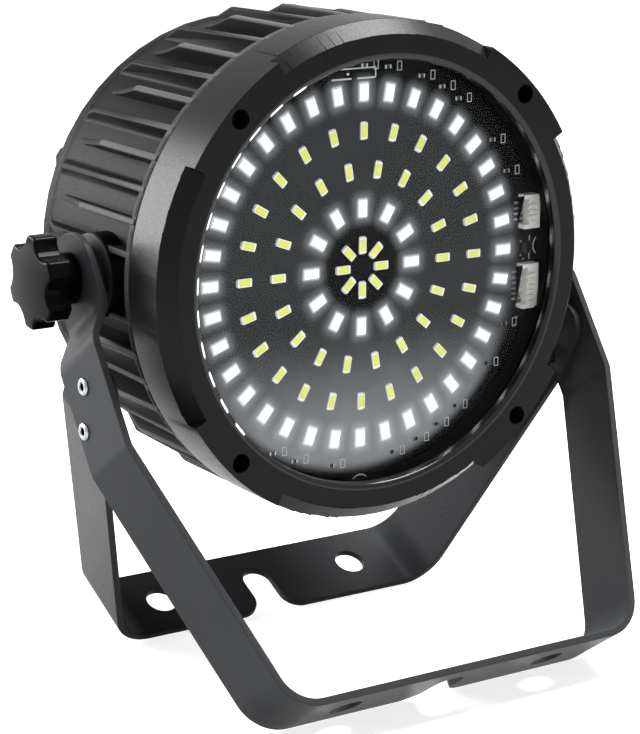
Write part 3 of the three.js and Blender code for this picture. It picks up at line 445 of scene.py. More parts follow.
# Front bezel: a turned ring, chamfered between four pads that hold its screws
bezel = {
    "radius": 91, "front": 15, "skirtEnd": -10.5, "skirtBore": 89.2, "underside": 3,
    "backEdge": 0.8, "window": 76.9, "wallLean": 0.3, "lipWidth": 2.2, "lipHeight": 1.2,
    "lipBack": 11.3, "lipSteps": 8, "lipShare": 0.9, "pocket": 81.5,
    "chamferWidth": 5, "chamferHeight": 6, "padHalf": 15, "firstPad": 45, "pads": 4,
    "screwCircle": 85.9, "pitRadius": 3.5, "pitDepth": 9, "holeRadius": 1.8, "steps": 144,
    "edge": 0.3, "edgeAngle": 0.6, "plainSkirt": 2, "past": 1.5,
}


def runsRound(edge, slack=0.02):  # true for an edge that runs round local Z
    a, b = (corner.co for corner in edge.verts)
    level = abs(a.z - b.z) < slack / 2
    return level and abs(math.hypot(a.x, a.y) - math.hypot(b.x, b.y)) < slack


def makeBezel(s):
    lip = []
    for step in range(s["lipSteps"] + 1):
        share = math.radians(90 * step / s["lipSteps"])
        lip.append((
            s["window"] + s["wallLean"] + s["lipWidth"] * (1 - math.cos(share)),
            s["front"] - s["lipHeight"] * (1 - math.sin(share)),
        ))
    ring = turned("bezelRing", [
        (s["window"], s["lipBack"]), *lip, (s["radius"], s["front"]),
        (s["radius"], s["skirtEnd"] + s["backEdge"]), (s["radius"] - s["backEdge"], s["skirtEnd"]),
        (s["skirtBore"], s["skirtEnd"]), (s["skirtBore"], s["underside"]),
        (s["pocket"], s["underside"]), (s["pocket"], s["lipBack"]),
    ], s["steps"])
    slope = s["chamferHeight"] / s["chamferWidth"]
    past = s["past"]
    inner = (s["radius"] - s["chamferWidth"] - past, s["front"] + past * slope)
    outer = (s["radius"] + past, s["front"] - s["chamferHeight"] - past * slope)
    span = 360 / s["pads"] - 2 * s["padHalf"]
    wedge = turned(
        "chamferCut", [inner, outer, (outer[0], inner[1])], int(span * s["steps"] / 360),
        start=s["firstPad"] + s["padHalf"], sweep=span,
    )
    cut(ring, ringOf(wedge, s["pads"]))
    pitFloor = s["front"] - s["pitDepth"]
    pit = pin("pit", s["pitRadius"], pitFloor, s["front"] + past, steps=40)
    hole = pin("hole", s["holeRadius"], s["underside"] - past, pitFloor + past, steps=24)
    for tool in (pit, hole):
        moveBy(tool, *around(s["screwCircle"], s["firstPad"]))
        cut(ring, ringOf(tool, s["pads"]))
    pick(ring, lambda at, edge: runsRound(edge) and at.z > s["skirtEnd"] + s["plainSkirt"]
         and edge.is_convex and edge.calc_face_angle(0) > s["edgeAngle"], "EDGE")
    bevelPicked(s["edge"], 2)
    evenShade(ring)
    ring.data.materials.append(bezelPlastic)
    ring.data.materials.append(lipPlastic)
    lipEnd = s["window"] + s["wallLean"] + s["lipShare"] * s["lipWidth"]
    pick(ring, lambda at, face: math.hypot(at.x, at.y) < lipEnd and at.z > s["lipBack"] - 0.1)
    paintPicked(ring)
    onHead(ring, "bezel_ring", "housing_plastic", bezelPlastic, "front_bezel")


makeBezel(bezel)
print("bezel ready")


# Drum: a turned shell with fins of two lengths, and a boss in a round moat on each side
drum = {
    "radius": 83.5, "bore": 80.5, "rear": -86, "rimRadius": 84, "rimHeight": 1.5, "steps": 144,
    "flangeRadius": 88.9, "flangeRear": -12, "band": 90.3, "bandFront": -11.6, "bandRear": -14.6,
    "front": 2.7, "pocket": 81.5, "shoulder": 77.5, "shoulderTop": -4.5, "shoulderBack": -7.5,
    "shoulderSlope": 4, "fins": 48, "finThick": 2.4, "finRoot": 1, "finEdge": 0.7,
    "shortCrest": 90.8, "shortStraight": -50, "shortEnd": -80, "shortFall": ((1, 0.13), (0.26, 0.47)),
    "longCrest": 90.5, "longRear": 89, "longStraight": -72, "longEnd": -85.5,
    "bossRadius": 15.3, "bossInner": 74.5, "bossFace": 90.2, "bossEdge": 0.8, "moat": 1.7,
    "moatFloor": 82.2, "insertBore": 7.3, "pivotBack": 39.6, "past": 4,
}


def fallingLine(s, steps=8):  # a short fin's crest, falling to the drum in a slow S
    span = s["shortStraight"] - s["shortEnd"]
    rise = s["shortCrest"] - s["radius"]
    a = Vector((s["shortCrest"], s["shortStraight"]))
    b, c = (
        Vector((s["radius"] + height * rise, s["shortStraight"] - back * span))
        for height, back in s["shortFall"]
    )
    d = Vector((s["radius"], s["shortEnd"]))
    points = []
    for step in range(steps + 1):
        t = step / steps
        points.append(tuple(
            (1 - t) ** 3 * a + 3 * (1 - t) ** 2 * t * b + 3 * (1 - t) * t ** 2 * c + t ** 3 * d
        ))
    return points


def makeFin(name, outline, s):
    fin = slab(name, outline, -s["finThick"] / 2, s["finThick"] / 2, "XZ")
    crest = s["radius"] + 0.3  # only the edges above the drum's wall are rounded
    pick(fin, lambda at, edge: at.x > crest and abs(edge.verts[0].co.y - edge.verts[1].co.y) < 0.1
         and abs(at.z - s["flangeRear"]) > 0.1, "EDGE")
    bevelPicked(s["finEdge"], 3)
    return fin


def makeDrum(s):
    shell = turned("drumShell", [
        (s["bore"], s["rear"]), (s["rimRadius"], s["rear"]),
        (s["rimRadius"], s["rear"] + s["rimHeight"]), (s["radius"], s["rear"] + 2 * s["rimHeight"]),
        (s["radius"], s["bandRear"]), (s["band"], s["bandRear"]), (s["band"], s["bandFront"]),
        (s["flangeRadius"], s["bandFront"]),
        (s["flangeRadius"], s["front"]), (s["pocket"], s["front"]), (s["pocket"], s["shoulderTop"]),
        (s["shoulder"], s["shoulderTop"]), (s["shoulder"], s["shoulderBack"]),
        (s["bore"], s["shoulderBack"] - s["shoulderSlope"]),
    ], s["steps"])
    root = s["radius"] - s["finRoot"]
    ahead = s["flangeRear"]
    short = makeFin("shortFin", [
        (root, ahead), (s["shortCrest"], ahead), *fallingLine(s), (root, s["shortEnd"]),
    ], s)
    long = makeFin("longFin", [
        (root, ahead), (s["longCrest"], ahead), (s["longRear"], s["longStraight"]),
        (s["radius"], s["longEnd"]), (root, s["longEnd"]),
    ], s)
    pitch = 360 / s["fins"]
    quarter = s["fins"] // 4
    shorts = [turnBy(copyOf(short), pitch * index) for index in range(s["fins"])
              if index % 2 == 0 and index % (2 * quarter)]
    longs = [turnBy(copyOf(long), pitch * index) for index in range(s["fins"]) if index % 2]
    bpy.data.objects.remove(short)
    bpy.data.objects.remove(long)
    cut(shell, together("fins", *shorts, *longs), "UNION")
    moatEnd = s["bossRadius"] + s["moat"]
    outside = s["bossFace"] + s["past"]
    for side in (-1, 1):
        moat = turned("moat", [
            (s["bossRadius"], s["moatFloor"]), (moatEnd, s["moatFloor"]),
            (moatEnd, outside), (s["bossRadius"], outside),
        ], 48)
        boss = pin("boss", s["bossRadius"], s["bossInner"], s["bossFace"], steps=48)
        softEdges(boss, s["bossEdge"], 3)
        bore = pin("bore", s["insertBore"], s["bossInner"] - s["past"], outside)
        for tool, how in ((boss, "UNION"), (moat, "DIFFERENCE"), (bore, "DIFFERENCE")):
            turnBy(tool, 90 * side, "Y")
            moveBy(tool, z=-s["pivotBack"])
            cut(shell, tool, how)
    evenShade(shell, 35)
    onHead(shell, "drum_shell", "housing_plastic", drumPlastic, "housing")


makeDrum(drum)
print("drum ready")


# Front lens: a clear flat disc, held by a gasket behind the bezel's lip
lens = {"radius": 81.2, "back": 6.9, "front": 9.9, "edge": 0.3, "steps": 144}


def makeLens(s):
    # Clear polycarbonate: a low index keeps its glare as faint as the photo shows it
    clear = newMaterial(
        "clear polycarbonate", color=linear("#fbfcfc"), rough=0.01, clear=1.0, ior=1.1,
    )[0]
    disc = turned("lensDisc", [
        (0, s["back"]), (s["radius"], s["back"]), (s["radius"], s["front"]), (0, s["front"]),
    ], s["steps"], closed=False)
    softEdges(disc, s["edge"])
    onHead(disc, "lens_disc", "lens_plastic", clear, "front_lens")


makeLens(lens)
print("lens ready")


# LED board: black disc, five rings of LEDs of which two are lit, small parts near its rim
board = {
    "radius": 81.2, "top": -0.8, "back": -2.4, "steps": 144, "screwCircle": 74.5, "screwHole": 1.55,
    "rings": (  # count, radius, whether lit
        (8, 8.3, False), (12, 21.85, True), (18, 35.95, False), (24, 50.07, False), (36, 64, True),
    ),
    "ledSize": (5.7, 3.0, 0.6), "ledEdge": 0.12, "frame": 0.26, "windowShare": 0.88, "sink": 0.1,
    "padSize": (6.6, 2.4, 0.06), "patch": 14, "patchSpread": (0.75, 1.25),
    # painted light on the board: the grey veil of reflection, and the halo and core of glow round each
    # lit LED
    "veil": 0.035, "veilStart": (19, 14), "veilEnd": (68.5, 73.5), "veilDrop": 4, "veilLow": 0.21,
    "veilRise": (-66, -18), "halo": 0.17, "haloReach": (0.0, 6.5), "haloPower": 2.2,
    "core": 0.6, "coreReach": (0.0, 1.3),
}


def boardMask(s):  # black solder mask with painted light: a painted glow round each lit LED, and a painted grey veil of reflection over the middle, stronger towards the bottom
    material, tree, shader, place = newMaterial(
        "black solder mask", color=linear("#080909"), rough=0.45, specular=0.03,
    )
    calc = partial(work, tree)
    centred, across, up, radius = aroundAxis(tree)
    # the painted veil of reflection: a ring between two radii with its outer edge lowered, stronger
    # towards the bottom
    lowered = addNode(tree, "VectorMath", {0: centred, 1: (0, 0, s["veilDrop"] * mm)}).outputs[0]
    inside = calc(
        "MULTIPLY", softStep(tree, radius, *s["veilStart"]),
        softStep(tree, lengthOf(tree, lowered), *s["veilEnd"]),
    )
    low = calc("MULTIPLY", softStep(tree, up, *s["veilRise"]), s["veilLow"])
    light = calc("MULTIPLY", inside, calc("ADD", low, s["veil"]))
    length, width, height = s["ledSize"]
    # the painted glow round each lit LED: a soft halo and a brighter core
    for count, ring, lit in s["rings"]:
        if lit:  # each place is measured from the outline of its nearest LED
            swing = fromNearest(tree, across, up, count)
            ahead = calc("SUBTRACT", calc("MULTIPLY", radius, calc("COSINE", swing)), ring * mm)
            aside = calc("MULTIPLY", radius, calc("SINE", swing))
            over = [
                calc("MAXIMUM", calc("SUBTRACT", calc("ABSOLUTE", way), size / 2 * mm), 0.0)
                for way, size in ((ahead, length), (aside, width))
            ]
            gap = calc("SQRT", calc("ADD", *(calc("MULTIPLY", part, part) for part in over)))
            halo = softStep(tree, gap, *s["haloReach"], power=s["haloPower"])
            light = calc("ADD", light, calc("MULTIPLY", halo, s["halo"]))
            core = softStep(tree, gap, *s["coreReach"])
            light = calc("ADD", light, calc("MULTIPLY", core, s["core"]))
    # the painted light is made patchy by a cloud
    cloud = addNode(tree, "TexNoise", {"Vector": place, "Scale": 1000 / s["patch"], "Detail": 2})
    least, most = s["patchSpread"]
    patchy = addNode(tree, "MapRange", {
        "Value": cloud.outputs["Fac"], "To Min": least, "To Max": most,
    })
    shader.inputs["Emission Color"].default_value = linear("#f1f6fb")
    power = calc("MULTIPLY", light, patchy.outputs["Result"])
    tree.links.new(power, shader.inputs["Emission Strength"])
    return material


def ledFinish():
    # White moulded package of an LED, and its yellow phosphor under clear silicone
    package = newMaterial("white polyphthalamide", color=linear("#e9ebe6"), rough=0.4)[0]
    phosphor = newMaterial("yellow phosphor", color=linear("#d9dd58"), rough=0.3, coat=0.2)[0]
    # The same two pieces while lit: cool white light
    lit = {"color": linear("#ffffff"), "glow": linear("#f4fbff")}
    litPackage = newMaterial("lit package", glowPower=0.6, **lit)[0]
    litPhosphor = newMaterial("lit phosphor", glowPower=5.0, **lit)[0]
    return {False: (package, phosphor), True: (litPackage, litPhosphor)}


def makeLed(s, finishes):
    length, width, height = s["ledSize"]
    led = brick("led", (length, width, height), (0, 0, s["top"] + height / 2))
    led.data.materials.append(finishes[0])
    led.data.materials.append(finishes[1])
    pick(led, lambda at, face: face.normal.z > 0.9)
    bpy.ops.mesh.inset(thickness=s["frame"])
    bpy.ops.transform.resize(value=(s["windowShare"], 1, 1), center_override=(0, 0, 0))
    bpy.ops.mesh.extrude_region_move(TRANSFORM_OT_translate={"value": (0, 0, -s["sink"])})
    paintPicked(led)
    endX, endY = length / 2 - 0.01, width / 2 - 0.01
    pick(led, lambda at, edge: abs(at.x) > endX and abs(at.y) > endY, "EDGE")
    bevelPicked(s["ledEdge"], 1)
    return led


def makeBoard(s):
    disc = turned("boardDisc", [
        (0, s["back"]), (s["radius"], s["back"]), (s["radius"], s["top"]), (0, s["top"]),
    ], s["steps"], closed=False)
    for side in (-1, 1):
        spot = (side * s["screwCircle"], 0)
        cut(disc, pin("hole", s["screwHole"], s["back"] - 1, s["top"] + 1, 24, spot))
    evenShade(disc)
    onHead(disc, "led_board_disc", "board_mask", boardMask(s), "led_board")
    finishes = ledFinish()
    for lit in (False, True):
        rings = []
        pads = []
        for count, radius, glows in s["rings"]:
            if glows == lit:
                led = moveBy(makeLed(s, finishes[lit]), x=radius)
                rings.append(ringOf(led, count))
                pad = brick("pad", s["padSize"], (radius, 0, s["top"] + s["padSize"][2] / 2))
                pads.append(ringOf(pad, count))
        name = "leds_lit" if lit else "leds_unlit"
        onHead(together(name, *rings), name, "white_nylon", finishes[lit][0])
        onHead(together("pads", *pads), name + "_pads", "zinc_steel", tinned)


makeBoard(board)
print("board ready")


# Small parts on the board, all laid level as the photo has them, and the printed white frames
boardParts = {
    "partCircle": 73.5, "partAngles": (
        -119, -111, -98, -77, -68, -60, -52, -36, -23, 24, 35, 53, 60, 68, 80, 88,
    ),
    "bodySize": (2.0, 1.25, 0.5), "capSize": (0.45, 1.3, 0.55), "frameSize": (2.04, 3.4),
    "frameLine": 0.25, "frameGap": 2.6, "inkHeight": 0.04, "ringCircle": 82.3, "ringRadius": 4.3,
    "ringLine": 0.45, "ringSink": 0.3, "rimGap": 0.2,
    "lines": (  # x, y, width and height of the two large frames' sides
        (76.4, -1.2, 0.5, 7.6), (76.4, 3.0, 0.5, 2.4), (-9.6, 69.0, 8.4, 0.6),
        (1.0, 69.0, 7.6, 0.6), (-4.5, 72.6, 19, 0.45), (5.0, 70.8, 0.45, 3.6),
    ),
    "dotSize": (0.9, 0.7, 0.25), "dotRise": 0.12, "dots": (
        (72.4, 2.2), (72.4, -3.1), (73.6, 0.6), (73.6, -4.6), (71.2, -27), (70.4, -30), (-7, 70.8),
    ),
}


def makeBoardParts(s, b):
    ink = newMaterial("white board ink", color=linear("#c9ccca"), rough=0.6)[0]
    resistorBlack = newMaterial("black thick film", color=linear("#141414"), rough=0.35)[0]
    low = b["top"]
    inkLevel = low + s["inkHeight"] / 2
    bodies, caps, frames = [], [], []
    for angle in s["partAngles"]:
        x, y = around(s["partCircle"], angle)
        left = x - s["frameGap"]
        bodies.append(brick("body", s["bodySize"], (left, y, low + s["bodySize"][2] / 2)))
        for side in (-1, 1):
            spot = (left + side * s["bodySize"][0] / 2, y, low + s["capSize"][2] / 2)
            caps.append(brick("cap", s["capSize"], spot))
        wide, tall = s["frameSize"]
        line = 2 * s["frameLine"]
        spot = (x + s["frameGap"], y, inkLevel)
        outline = brick("frame", (wide, tall, s["inkHeight"]), spot)
        frames.append(cut(outline, brick("hole", (wide - line, tall - line, 1), spot)))
    for x, y, wide, tall in s["lines"]:
        frames.append(brick("line", (wide, tall, s["inkHeight"]), (x, y, inkLevel)))
    for x, y in s["dots"]:
        caps.append(brick("dot", s["dotSize"], (x, y, low + s["dotRise"])))
    rings = []
    bore = s["ringRadius"] - s["ringLine"]
    for angle in (0, 90, 180, 270):
        at = around(s["ringCircle"], angle)
        ring = pin("ring", s["ringRadius"], low - s["ringSink"], low + s["inkHeight"], 48, at)
        rings.append(cut(ring, pin("hole", bore, low - 1, low + 1, 48, at)))
    rim = pin("rim", b["radius"] - s["rimGap"], low - 1, low + 1, steps=96)
    frames.append(cut(together("rings", *rings), rim, "INTERSECT"))
    onHead(together("bodies", *bodies), "resistor_bodies", "circuit_board", resistorBlack)
    onHead(together("caps", *caps), "resistor_caps", "zinc_steel", tinned)
    onHead(together("frames", *frames), "board_ink_frames", "board_mask", ink)


makeBoardParts(boardParts, board)
print("board parts ready")


# White side-entry connectors: a comb of contacts towards the middle, mouth towards the rim
plug = {
    "pitch": 2.1, "ends": 6.7, "inner": 70.4, "depth": 7.4, "low": -0.5, "height": 4.2, "wall": 1,
    "wing": 1.6, "wingDepth": 2.6, "slotWidth": 1.0, "slotDepth": 3.4, "slotDrop": 0.9,
    "tailSize": (4.6, 0.75, 0.5), "tailRise": 0.1, "edge": 0.2,
    "each": (("led_connector_upper", 4, 14.2), ("led_connector_lower", 6, -14.4)),
}


def makePlug(s, nodeName, pins, y):
    width = (pins - 1) * s["pitch"] + s["ends"]
    top = s["low"] + s["height"]
    level = s["low"] + s["height"] / 2
    middle = s["inner"] + s["depth"] / 2
    body = brick("plug", (s["depth"], width, s["height"]), (middle, 0, level))
    mouth = (s["depth"], width - 2 * s["wall"], s["height"] - 2 * s["wall"])
    cut(body, brick("mouth", mouth, (middle + 4 * s["wall"], 0, level)))
    bay = (2 * s["wingDepth"], width - 2 * s["wing"], 2 * s["height"])  # open between its two wings
    cut(body, brick("bay", bay, (s["inner"], 0, top)))
    tails = []
    slots = []
    comb = s["inner"] + s["wingDepth"]
    slotSize = (2 * s["slotDepth"], s["slotWidth"], 2 * s["slotDrop"])
    for index in range(pins):
        along = (index - (pins - 1) / 2) * s["pitch"]
        slots.append(brick("slot", slotSize, (comb, along, top)))
        spot = (comb - s["tailSize"][0] / 2, along, s["low"] + s["tailRise"])
        tails.append(brick("tail", s["tailSize"], spot))
    cut(body, together("slots", *slots))
    softEdges(body, s["edge"])
    moveBy(body, y=y)
    contacts = moveBy(together("tails", *tails), y=y)
    onHead(body, nodeName + "_body", "white_nylon", whiteNylon, nodeName)
    onHead(contacts, nodeName + "_contacts", "zinc_steel", tinned)


for nodeName, pins, y in plug["each"]:
    makePlug(plug, nodeName, pins, y)
print("connectors ready")


# Pan-head screws with a cross drive, modelled once for each size
screws = {
    "crossWidth": 0.75, "crossShare": 1.25, "crossDepth": 0.55, "steps": 32,
    "crown": ((0, 0.7), (0.25, 0.25), (0.9, 0)),  # inwards and down from the head's corner
    # Head radius, head height, shank radius and length
    "bezel": (3, 2.3, 1.5, 13), "cover": (3, 2.3, 1.5, 14), "board": (2.6, 1.6, 1.25, 3.7),
    "circles": {"bezel": 85.9, "cover": 77}, "seats": {"bezel": 6.3, "cover": 89.7, "board": -0.5},
    "around": (45, 135, 225, 315),
}


def makeScrew(s, kind):
    radius, height, shank, length = s[kind]
    body = turned("screw", [
        (0, -length), (shank, -length), (shank, 0), (radius, 0),
        *((radius - inwards, height - down) for inwards, down in s["crown"]), (0, height),
    ], s["steps"], closed=False)
    reach = s["crossShare"] * radius
    deep = 2 * height * s["crossDepth"]
    for size in ((reach, s["crossWidth"], deep), (s["crossWidth"], reach, deep)):
        cut(body, brick("arm", size, (0, 0, height)))
    return evenShade(body, 50)


def placeScrews(s):
    for kind in ("bezel", "cover"):
        model = makeScrew(s, kind)
        for number, angle in enumerate(s["around"], 1):
            one = moveBy(copyOf(model), z=s["seats"][kind])
            if kind == "cover":
                turnBy(one, 180, "X")
            moveBy(one, *around(s["circles"][kind], angle))
            name = f"{kind}_screw_{number}"
            onHead(one, name + "_cross", "black_steel", blackZinc, name)
        bpy.data.objects.remove(model)
    model = makeScrew(s, "board")
    for side, sign in (("right", 1), ("left", -1)):
        one = moveBy(copyOf(model), x=sign * board["screwCircle"], z=s["seats"]["board"])
        name = "led_board_screw_" + side
        onHead(one, name + "_cross", "black_steel", blackZinc, name)
    bpy.data.objects.remove(model)


placeScrews(screws)
print("screws ready")


# Bracket strips: folded from a line, with rounded ends, two holes and a notch in each bar
strip = {
    "thick": 2.7, "foldRadius": 17, "arcSteps": 12, "edge": 0.45, "past": 4, "beyond": 112,
    "earHole": 4.4, "holeRadius": 6, "holePitch": 44, "shift": -2, "notchWidth": 12,
    "mouthRadius": 8, "rivetAhead": 24, "rivetLevels": (-33.4, -49.6), "rivetHole": 2.5,
    "front": {  # corners are x, z and the radius of the bend there
        "lean": -35.1, "width": 31, "ahead": 1.4, "reach": 171.842, "top": 15.5, "topCorner": 15.5,
        "corners": ((98, 19.5, 0), (98, -16.7, 9), (106.2, -28.1, 11.7), (106.2, -70, 8)),
        "foot": 74.9,
    },
    "rear": {
        "lean": 26.3, "width": 32, "ahead": 35.5, "reach": 140.417, "top": -9.5, "topCorner": 8,
        "corners": ((103.2, -5.5, 0), (103.2, -37, 8)), "foot": 71.9,
    },
    "joggleRoom": (-32.1, 14.3), "joggleWide": 130,
}


def foldedPath(corners, offset, steps):  # the corners joined by arcs, moved to the left by offset
    sides = []
    for before, after in zip(corners, corners[1:]):
        run = (Vector(after[:2]) - Vector(before[:2])).normalized()
        left = Vector((-run.y, run.x))
        sides.append((run, left, Vector(before[:2]) + left * offset))
    points = [sides[0][2].copy()]
    for index in range(1, len(sides)):
        run, left, start = sides[index - 1]
        nextRun, nextLeft, nextStart = sides[index]
        bend = run.x * nextRun.y - run.y * nextRun.x
        gap = nextStart - start
        apex = start + run * ((gap.x * nextRun.y - gap.y * nextRun.x) / bend)
        way = 1 if bend > 0 else -1
        radius = corners[index][2] - way * offset
        swing = run.angle(nextRun)
        first = apex - run * radius * math.tan(swing / 2)
        centre = first + left * way * radius
        for step in range(steps + 1):
            part = way * swing * step / steps
            arm = first - centre
            points.append(centre + Vector((
                arm.x * math.cos(part) - arm.y * math.sin(part),
                arm.x * math.sin(part) + arm.y * math.cos(part),
            )))
    points.append(Vector(corners[-1][:2]) + sides[-1][1] * offset)
    return [tuple(point) for point in points]


def makeStrip(s, kind, notchSide):
    own = s[kind]
    half = own["width"] / 2
    right = [*own["corners"], (own["foot"], -own["reach"], s["foldRadius"])]
    corners = right + [(-x, z, r) for x, z, r in reversed(right)]
    outer = foldedPath(corners, 0, s["arcSteps"])
    inner = foldedPath(corners, -s["thick"], s["arcSteps"])
    bracket = slab(kind, outer + inner[::-1], -half, half, "XZ")
    corner = own["topCorner"]
    level = own["top"] - corner
    low = -own["reach"] - s["past"]
    beyond = s["beyond"]
    shape = [(-half, low), (half, low)]
    for start, sign in ((0, 1), (90, -1)):
        shape += arc(corner, start, start + 90, s["arcSteps"], (sign * (half - corner), level))
    cut(bracket, slab("ends", shape, -beyond, beyond, "YZ"), "INTERSECT")
    mouth = s["notchWidth"] / 2 + s["mouthRadius"]
    edge = half - s["mouthRadius"]
    notch = [
        (-mouth, half + s["past"]),
        *arc(s["mouthRadius"], 90, 0, s["arcSteps"], (-mouth, edge)),
        *arc(s["notchWidth"] / 2, 180, 360, s["arcSteps"]),
        *arc(s["mouthRadius"], 180, 90, s["arcSteps"], (mouth, edge)),
        (mouth, half + s["past"]),
    ]
    notch = [(s["shift"] + x, notchSide * y) for x, y in notch]
    top = -own["reach"] + s["thick"] + s["past"]
    tools = [slab("notch", notch, low, top)]
    for side in (-1, 1):
        spot = (s["shift"] + side * s["holePitch"], 0)
        tools.append(pin("hole", s["holeRadius"], low, top, 40, spot))
    cut(bracket, together("tools", *tools))
    moveBy(bracket, y=-own["ahead"])
    if kind == "front":
        cut(bracket, turnBy(pin("ear", s["earHole"], -beyond, beyond), 90, "Y"))
    turnBy(bracket, own["lean"], "X")
    if kind == "rear":
        rear, front = s["joggleRoom"]
        size = (2 * beyond, s["joggleWide"], front - rear)
        room = brick("room", size, (0, 0, (rear + front) / 2))
        cut(bracket, turnBy(room, s["front"]["lean"], "X"))
    for level in s["rivetLevels"]:
        hole = turnBy(pin("hole", s["rivetHole"], -beyond, beyond, 24), 90, "Y")
        cut(bracket, moveBy(hole, y=-s["rivetAhead"], z=level))
    softEdges(bracket, s["edge"])
    settle(
        bracket, kind + "_strip", "stand", powderCoat,
        [kind + "_bracket"], pivotSpot,
    )


makeStrip(strip, "front", 1)
makeStrip(strip, "rear", -1)
print("brackets ready")


# Clamp knobs: six lobes cut by round flutes, a slightly domed face and a round hub
knob = {
    "crest": 17, "fluteRadius": 6.5, "fluteAt": 19.5, "corner": 1.6, "lobes": 6, "phase": 55,
    "face": 115.4, "thick": 10, "hubRadius": 9.5, "back": 98.3, "bore": 4.3, "boreDepth": 6.3,
    "edge": 0.8, "hubEdge": 0.5, "overlap": 2, "past": 4, "dome": 1.1,
    "crestSteps": 3, "cornerSteps": 6, "fluteSteps": 10,
    "faceShares": (0.86, 0.84, 0.8, 0.74, 0.62, 0.4),  # each ring of the crown in the one before
}


def lobedLine(s):  # crests and flutes as arcs, with a rounded corner between them
    crest, flute, far, corner = s["crest"], s["fluteRadius"], s["fluteAt"], s["corner"]
    inner, outer = crest - corner, flute + corner
    reach = math.degrees(math.acos((inner ** 2 + far ** 2 - outer ** 2) / (2 * inner * far)))
    gap = Vector(around(inner, reach)) - Vector((far, 0))
    opening = math.degrees(math.atan2(gap.y, -gap.x))
    pitch = 360 / s["lobes"]
    points = []
    for index in range(s["lobes"]):
        lobe = s["phase"] + pitch * index
        turn = lobe + pitch / 2
        flank = turn - reach
        after = turn + reach
        points += arc(crest, 2 * lobe - flank, flank, s["crestSteps"], last=0)
        points += arc(
            corner, flank, turn + opening, s["cornerSteps"], around(inner, flank), last=0,
        )
        points += arc(
            flute, turn + 180 + opening, turn + 180 - opening, s["fluteSteps"],
            around(far, turn), last=0,
        )
        points += arc(
            corner, turn - opening, after, s["cornerSteps"], around(inner, after), last=0,
        )
    return points


def makeKnob(s):
    rear = s["face"] - s["thick"]
    grip = slab("grip", lobedLine(s), rear, s["face"])
    softEdges(grip, s["edge"], 4, 50)
    hub = pin("hub", s["hubRadius"], s["back"], rear + s["overlap"], steps=48)
    softEdges(hub, s["hubEdge"])
    cut(grip, hub, "UNION")
    cut(grip, pin("bore", s["bore"], s["back"] - s["past"], s["back"] + s["boreDepth"]))
    pick(grip, lambda at, face: face.normal.z > 0.99 and at.z > s["face"] - 0.01)
    for share in s["faceShares"]:
        bpy.ops.mesh.extrude_region_move(TRANSFORM_OT_translate={"value": (0, 0, 0)})
        bpy.ops.transform.resize(value=(share, share, 1), center_override=(0, 0, s["face"]))
    crown = bmesh.from_edit_mesh(grip.data)
    for corner in crown.verts:  # the face bows, and its rounded edge goes with it
        if corner.co.z > s["face"] - 2 * s["edge"]:
            corner.co.z -= s["dome"] * (math.hypot(corner.co.x, corner.co.y) / s["crest"]) ** 2
    bmesh.update_edit_mesh(grip.data)
    closeUp(grip, 0.002)
    return evenShade(grip, 35)


def placeKnobs(s):
    model = makeKnob(s)
    for side, sign in (("left", -1), ("right", 1)):
        name = "clamp_knob_" + side
        settle(
            copyOf(model), name + "_grip", side + "_knob", knobPlastic,
            [name], pivotSpot, (0, 90 * sign, 0),
        )
    bpy.data.objects.remove(model)


placeKnobs(knob)
print("knobs ready")


# Blind rivets: a domed flange round a drilled mandrel
rivet = {
    "head": 3.2, "face": 106.5, "height": 0.8, "body": 2.2, "bore": 1.5, "boreDepth": 2, "steps": 32,
    "dome": ((0, 0), (0.1, 0.35), (0.5, 0.7), (1.0, 0.8)),  # inwards and up from the flange's rim
    "boreLip": ((0.3, 0.05), (0, 0.4)), "tail": 3, "tailAt": 100.2, "tailEnd": 95.2,
    "tailBore": 2, "tailCorner": 1,
}


def placeRivets(s):
    top = s["face"] + s["height"]
    model = turned("rivet", [
        (0, s["tailEnd"] + s["tailBore"]), (s["bore"], s["tailEnd"] + s["tailBore"]),
        (s["bore"], s["tailEnd"]), (s["tail"] - s["tailCorner"], s["tailEnd"]),
        (s["tail"], s["tailEnd"] + s["tailCorner"]), (s["tail"], s["tailAt"] - s["tailCorner"]),
        (s["body"], s["tailAt"]), (s["body"], s["face"]),
        *((s["head"] - inwards, s["face"] + up) for inwards, up in s["dome"]),
        *((s["bore"] + out, top - down) for out, down in s["boreLip"]),
        (s["bore"], top - s["boreDepth"]), (0, top - s["boreDepth"]),
    ], s["steps"], closed=False)
    evenShade(model, 40)
    model.data.materials.append(bareAluminium)
    model.data.materials.append(blackZinc)
    # The broken-off mandrel shows in the bore
    pick(model, lambda at, face: math.hypot(at.x, at.y) < s["bore"] + 0.01)
    paintPicked(model)
    for side, sign in (("left", -1), ("right", 1)):
        for level, height in zip(("upper", "lower"), strip["rivetLevels"]):
            name = f"rivet_{side}_{level}"
            spot = (0, pivotY - strip["rivetAhead"] * mm, axisHeight + height * mm)
            settle(
                copyOf(model), name + "_domed", "stand", bareAluminium, [name],
                spot, (0, 90 * sign, 0),
            )
    bpy.data.objects.remove(model)


placeRivets(rivet)
print("rivets ready")


# CAD pieces whose shape is right: a merged copy with soft edges stands in for the node
refining = {"merge": 0.000002, "flatWithin": 0.5, "roundAbove": 35}  # metres, degrees


def refined(nodeName, material, edge, body, s):
    source = nodes[nodeName]
    obj = bpy.data.objects.new(nodeName + "_soft", source.data.copy())
    bpy.context.scene.collection.objects.link(obj)
    obj.data.materials.clear()
    editAll(obj)
    bpy.ops.mesh.remove_doubles(threshold=s["merge"])
    bpy.ops.mesh.select_all(action="SELECT")
    bpy.ops.mesh.dissolve_limited(angle_limit=math.radians(s["flatWithin"]))
    bpy.ops.object.mode_set(mode="OBJECT")
    softEdges(obj, edge * mm, above=s["roundAbove"])
    wear(obj, nodeName + "_soft", body, material, [nodeName])


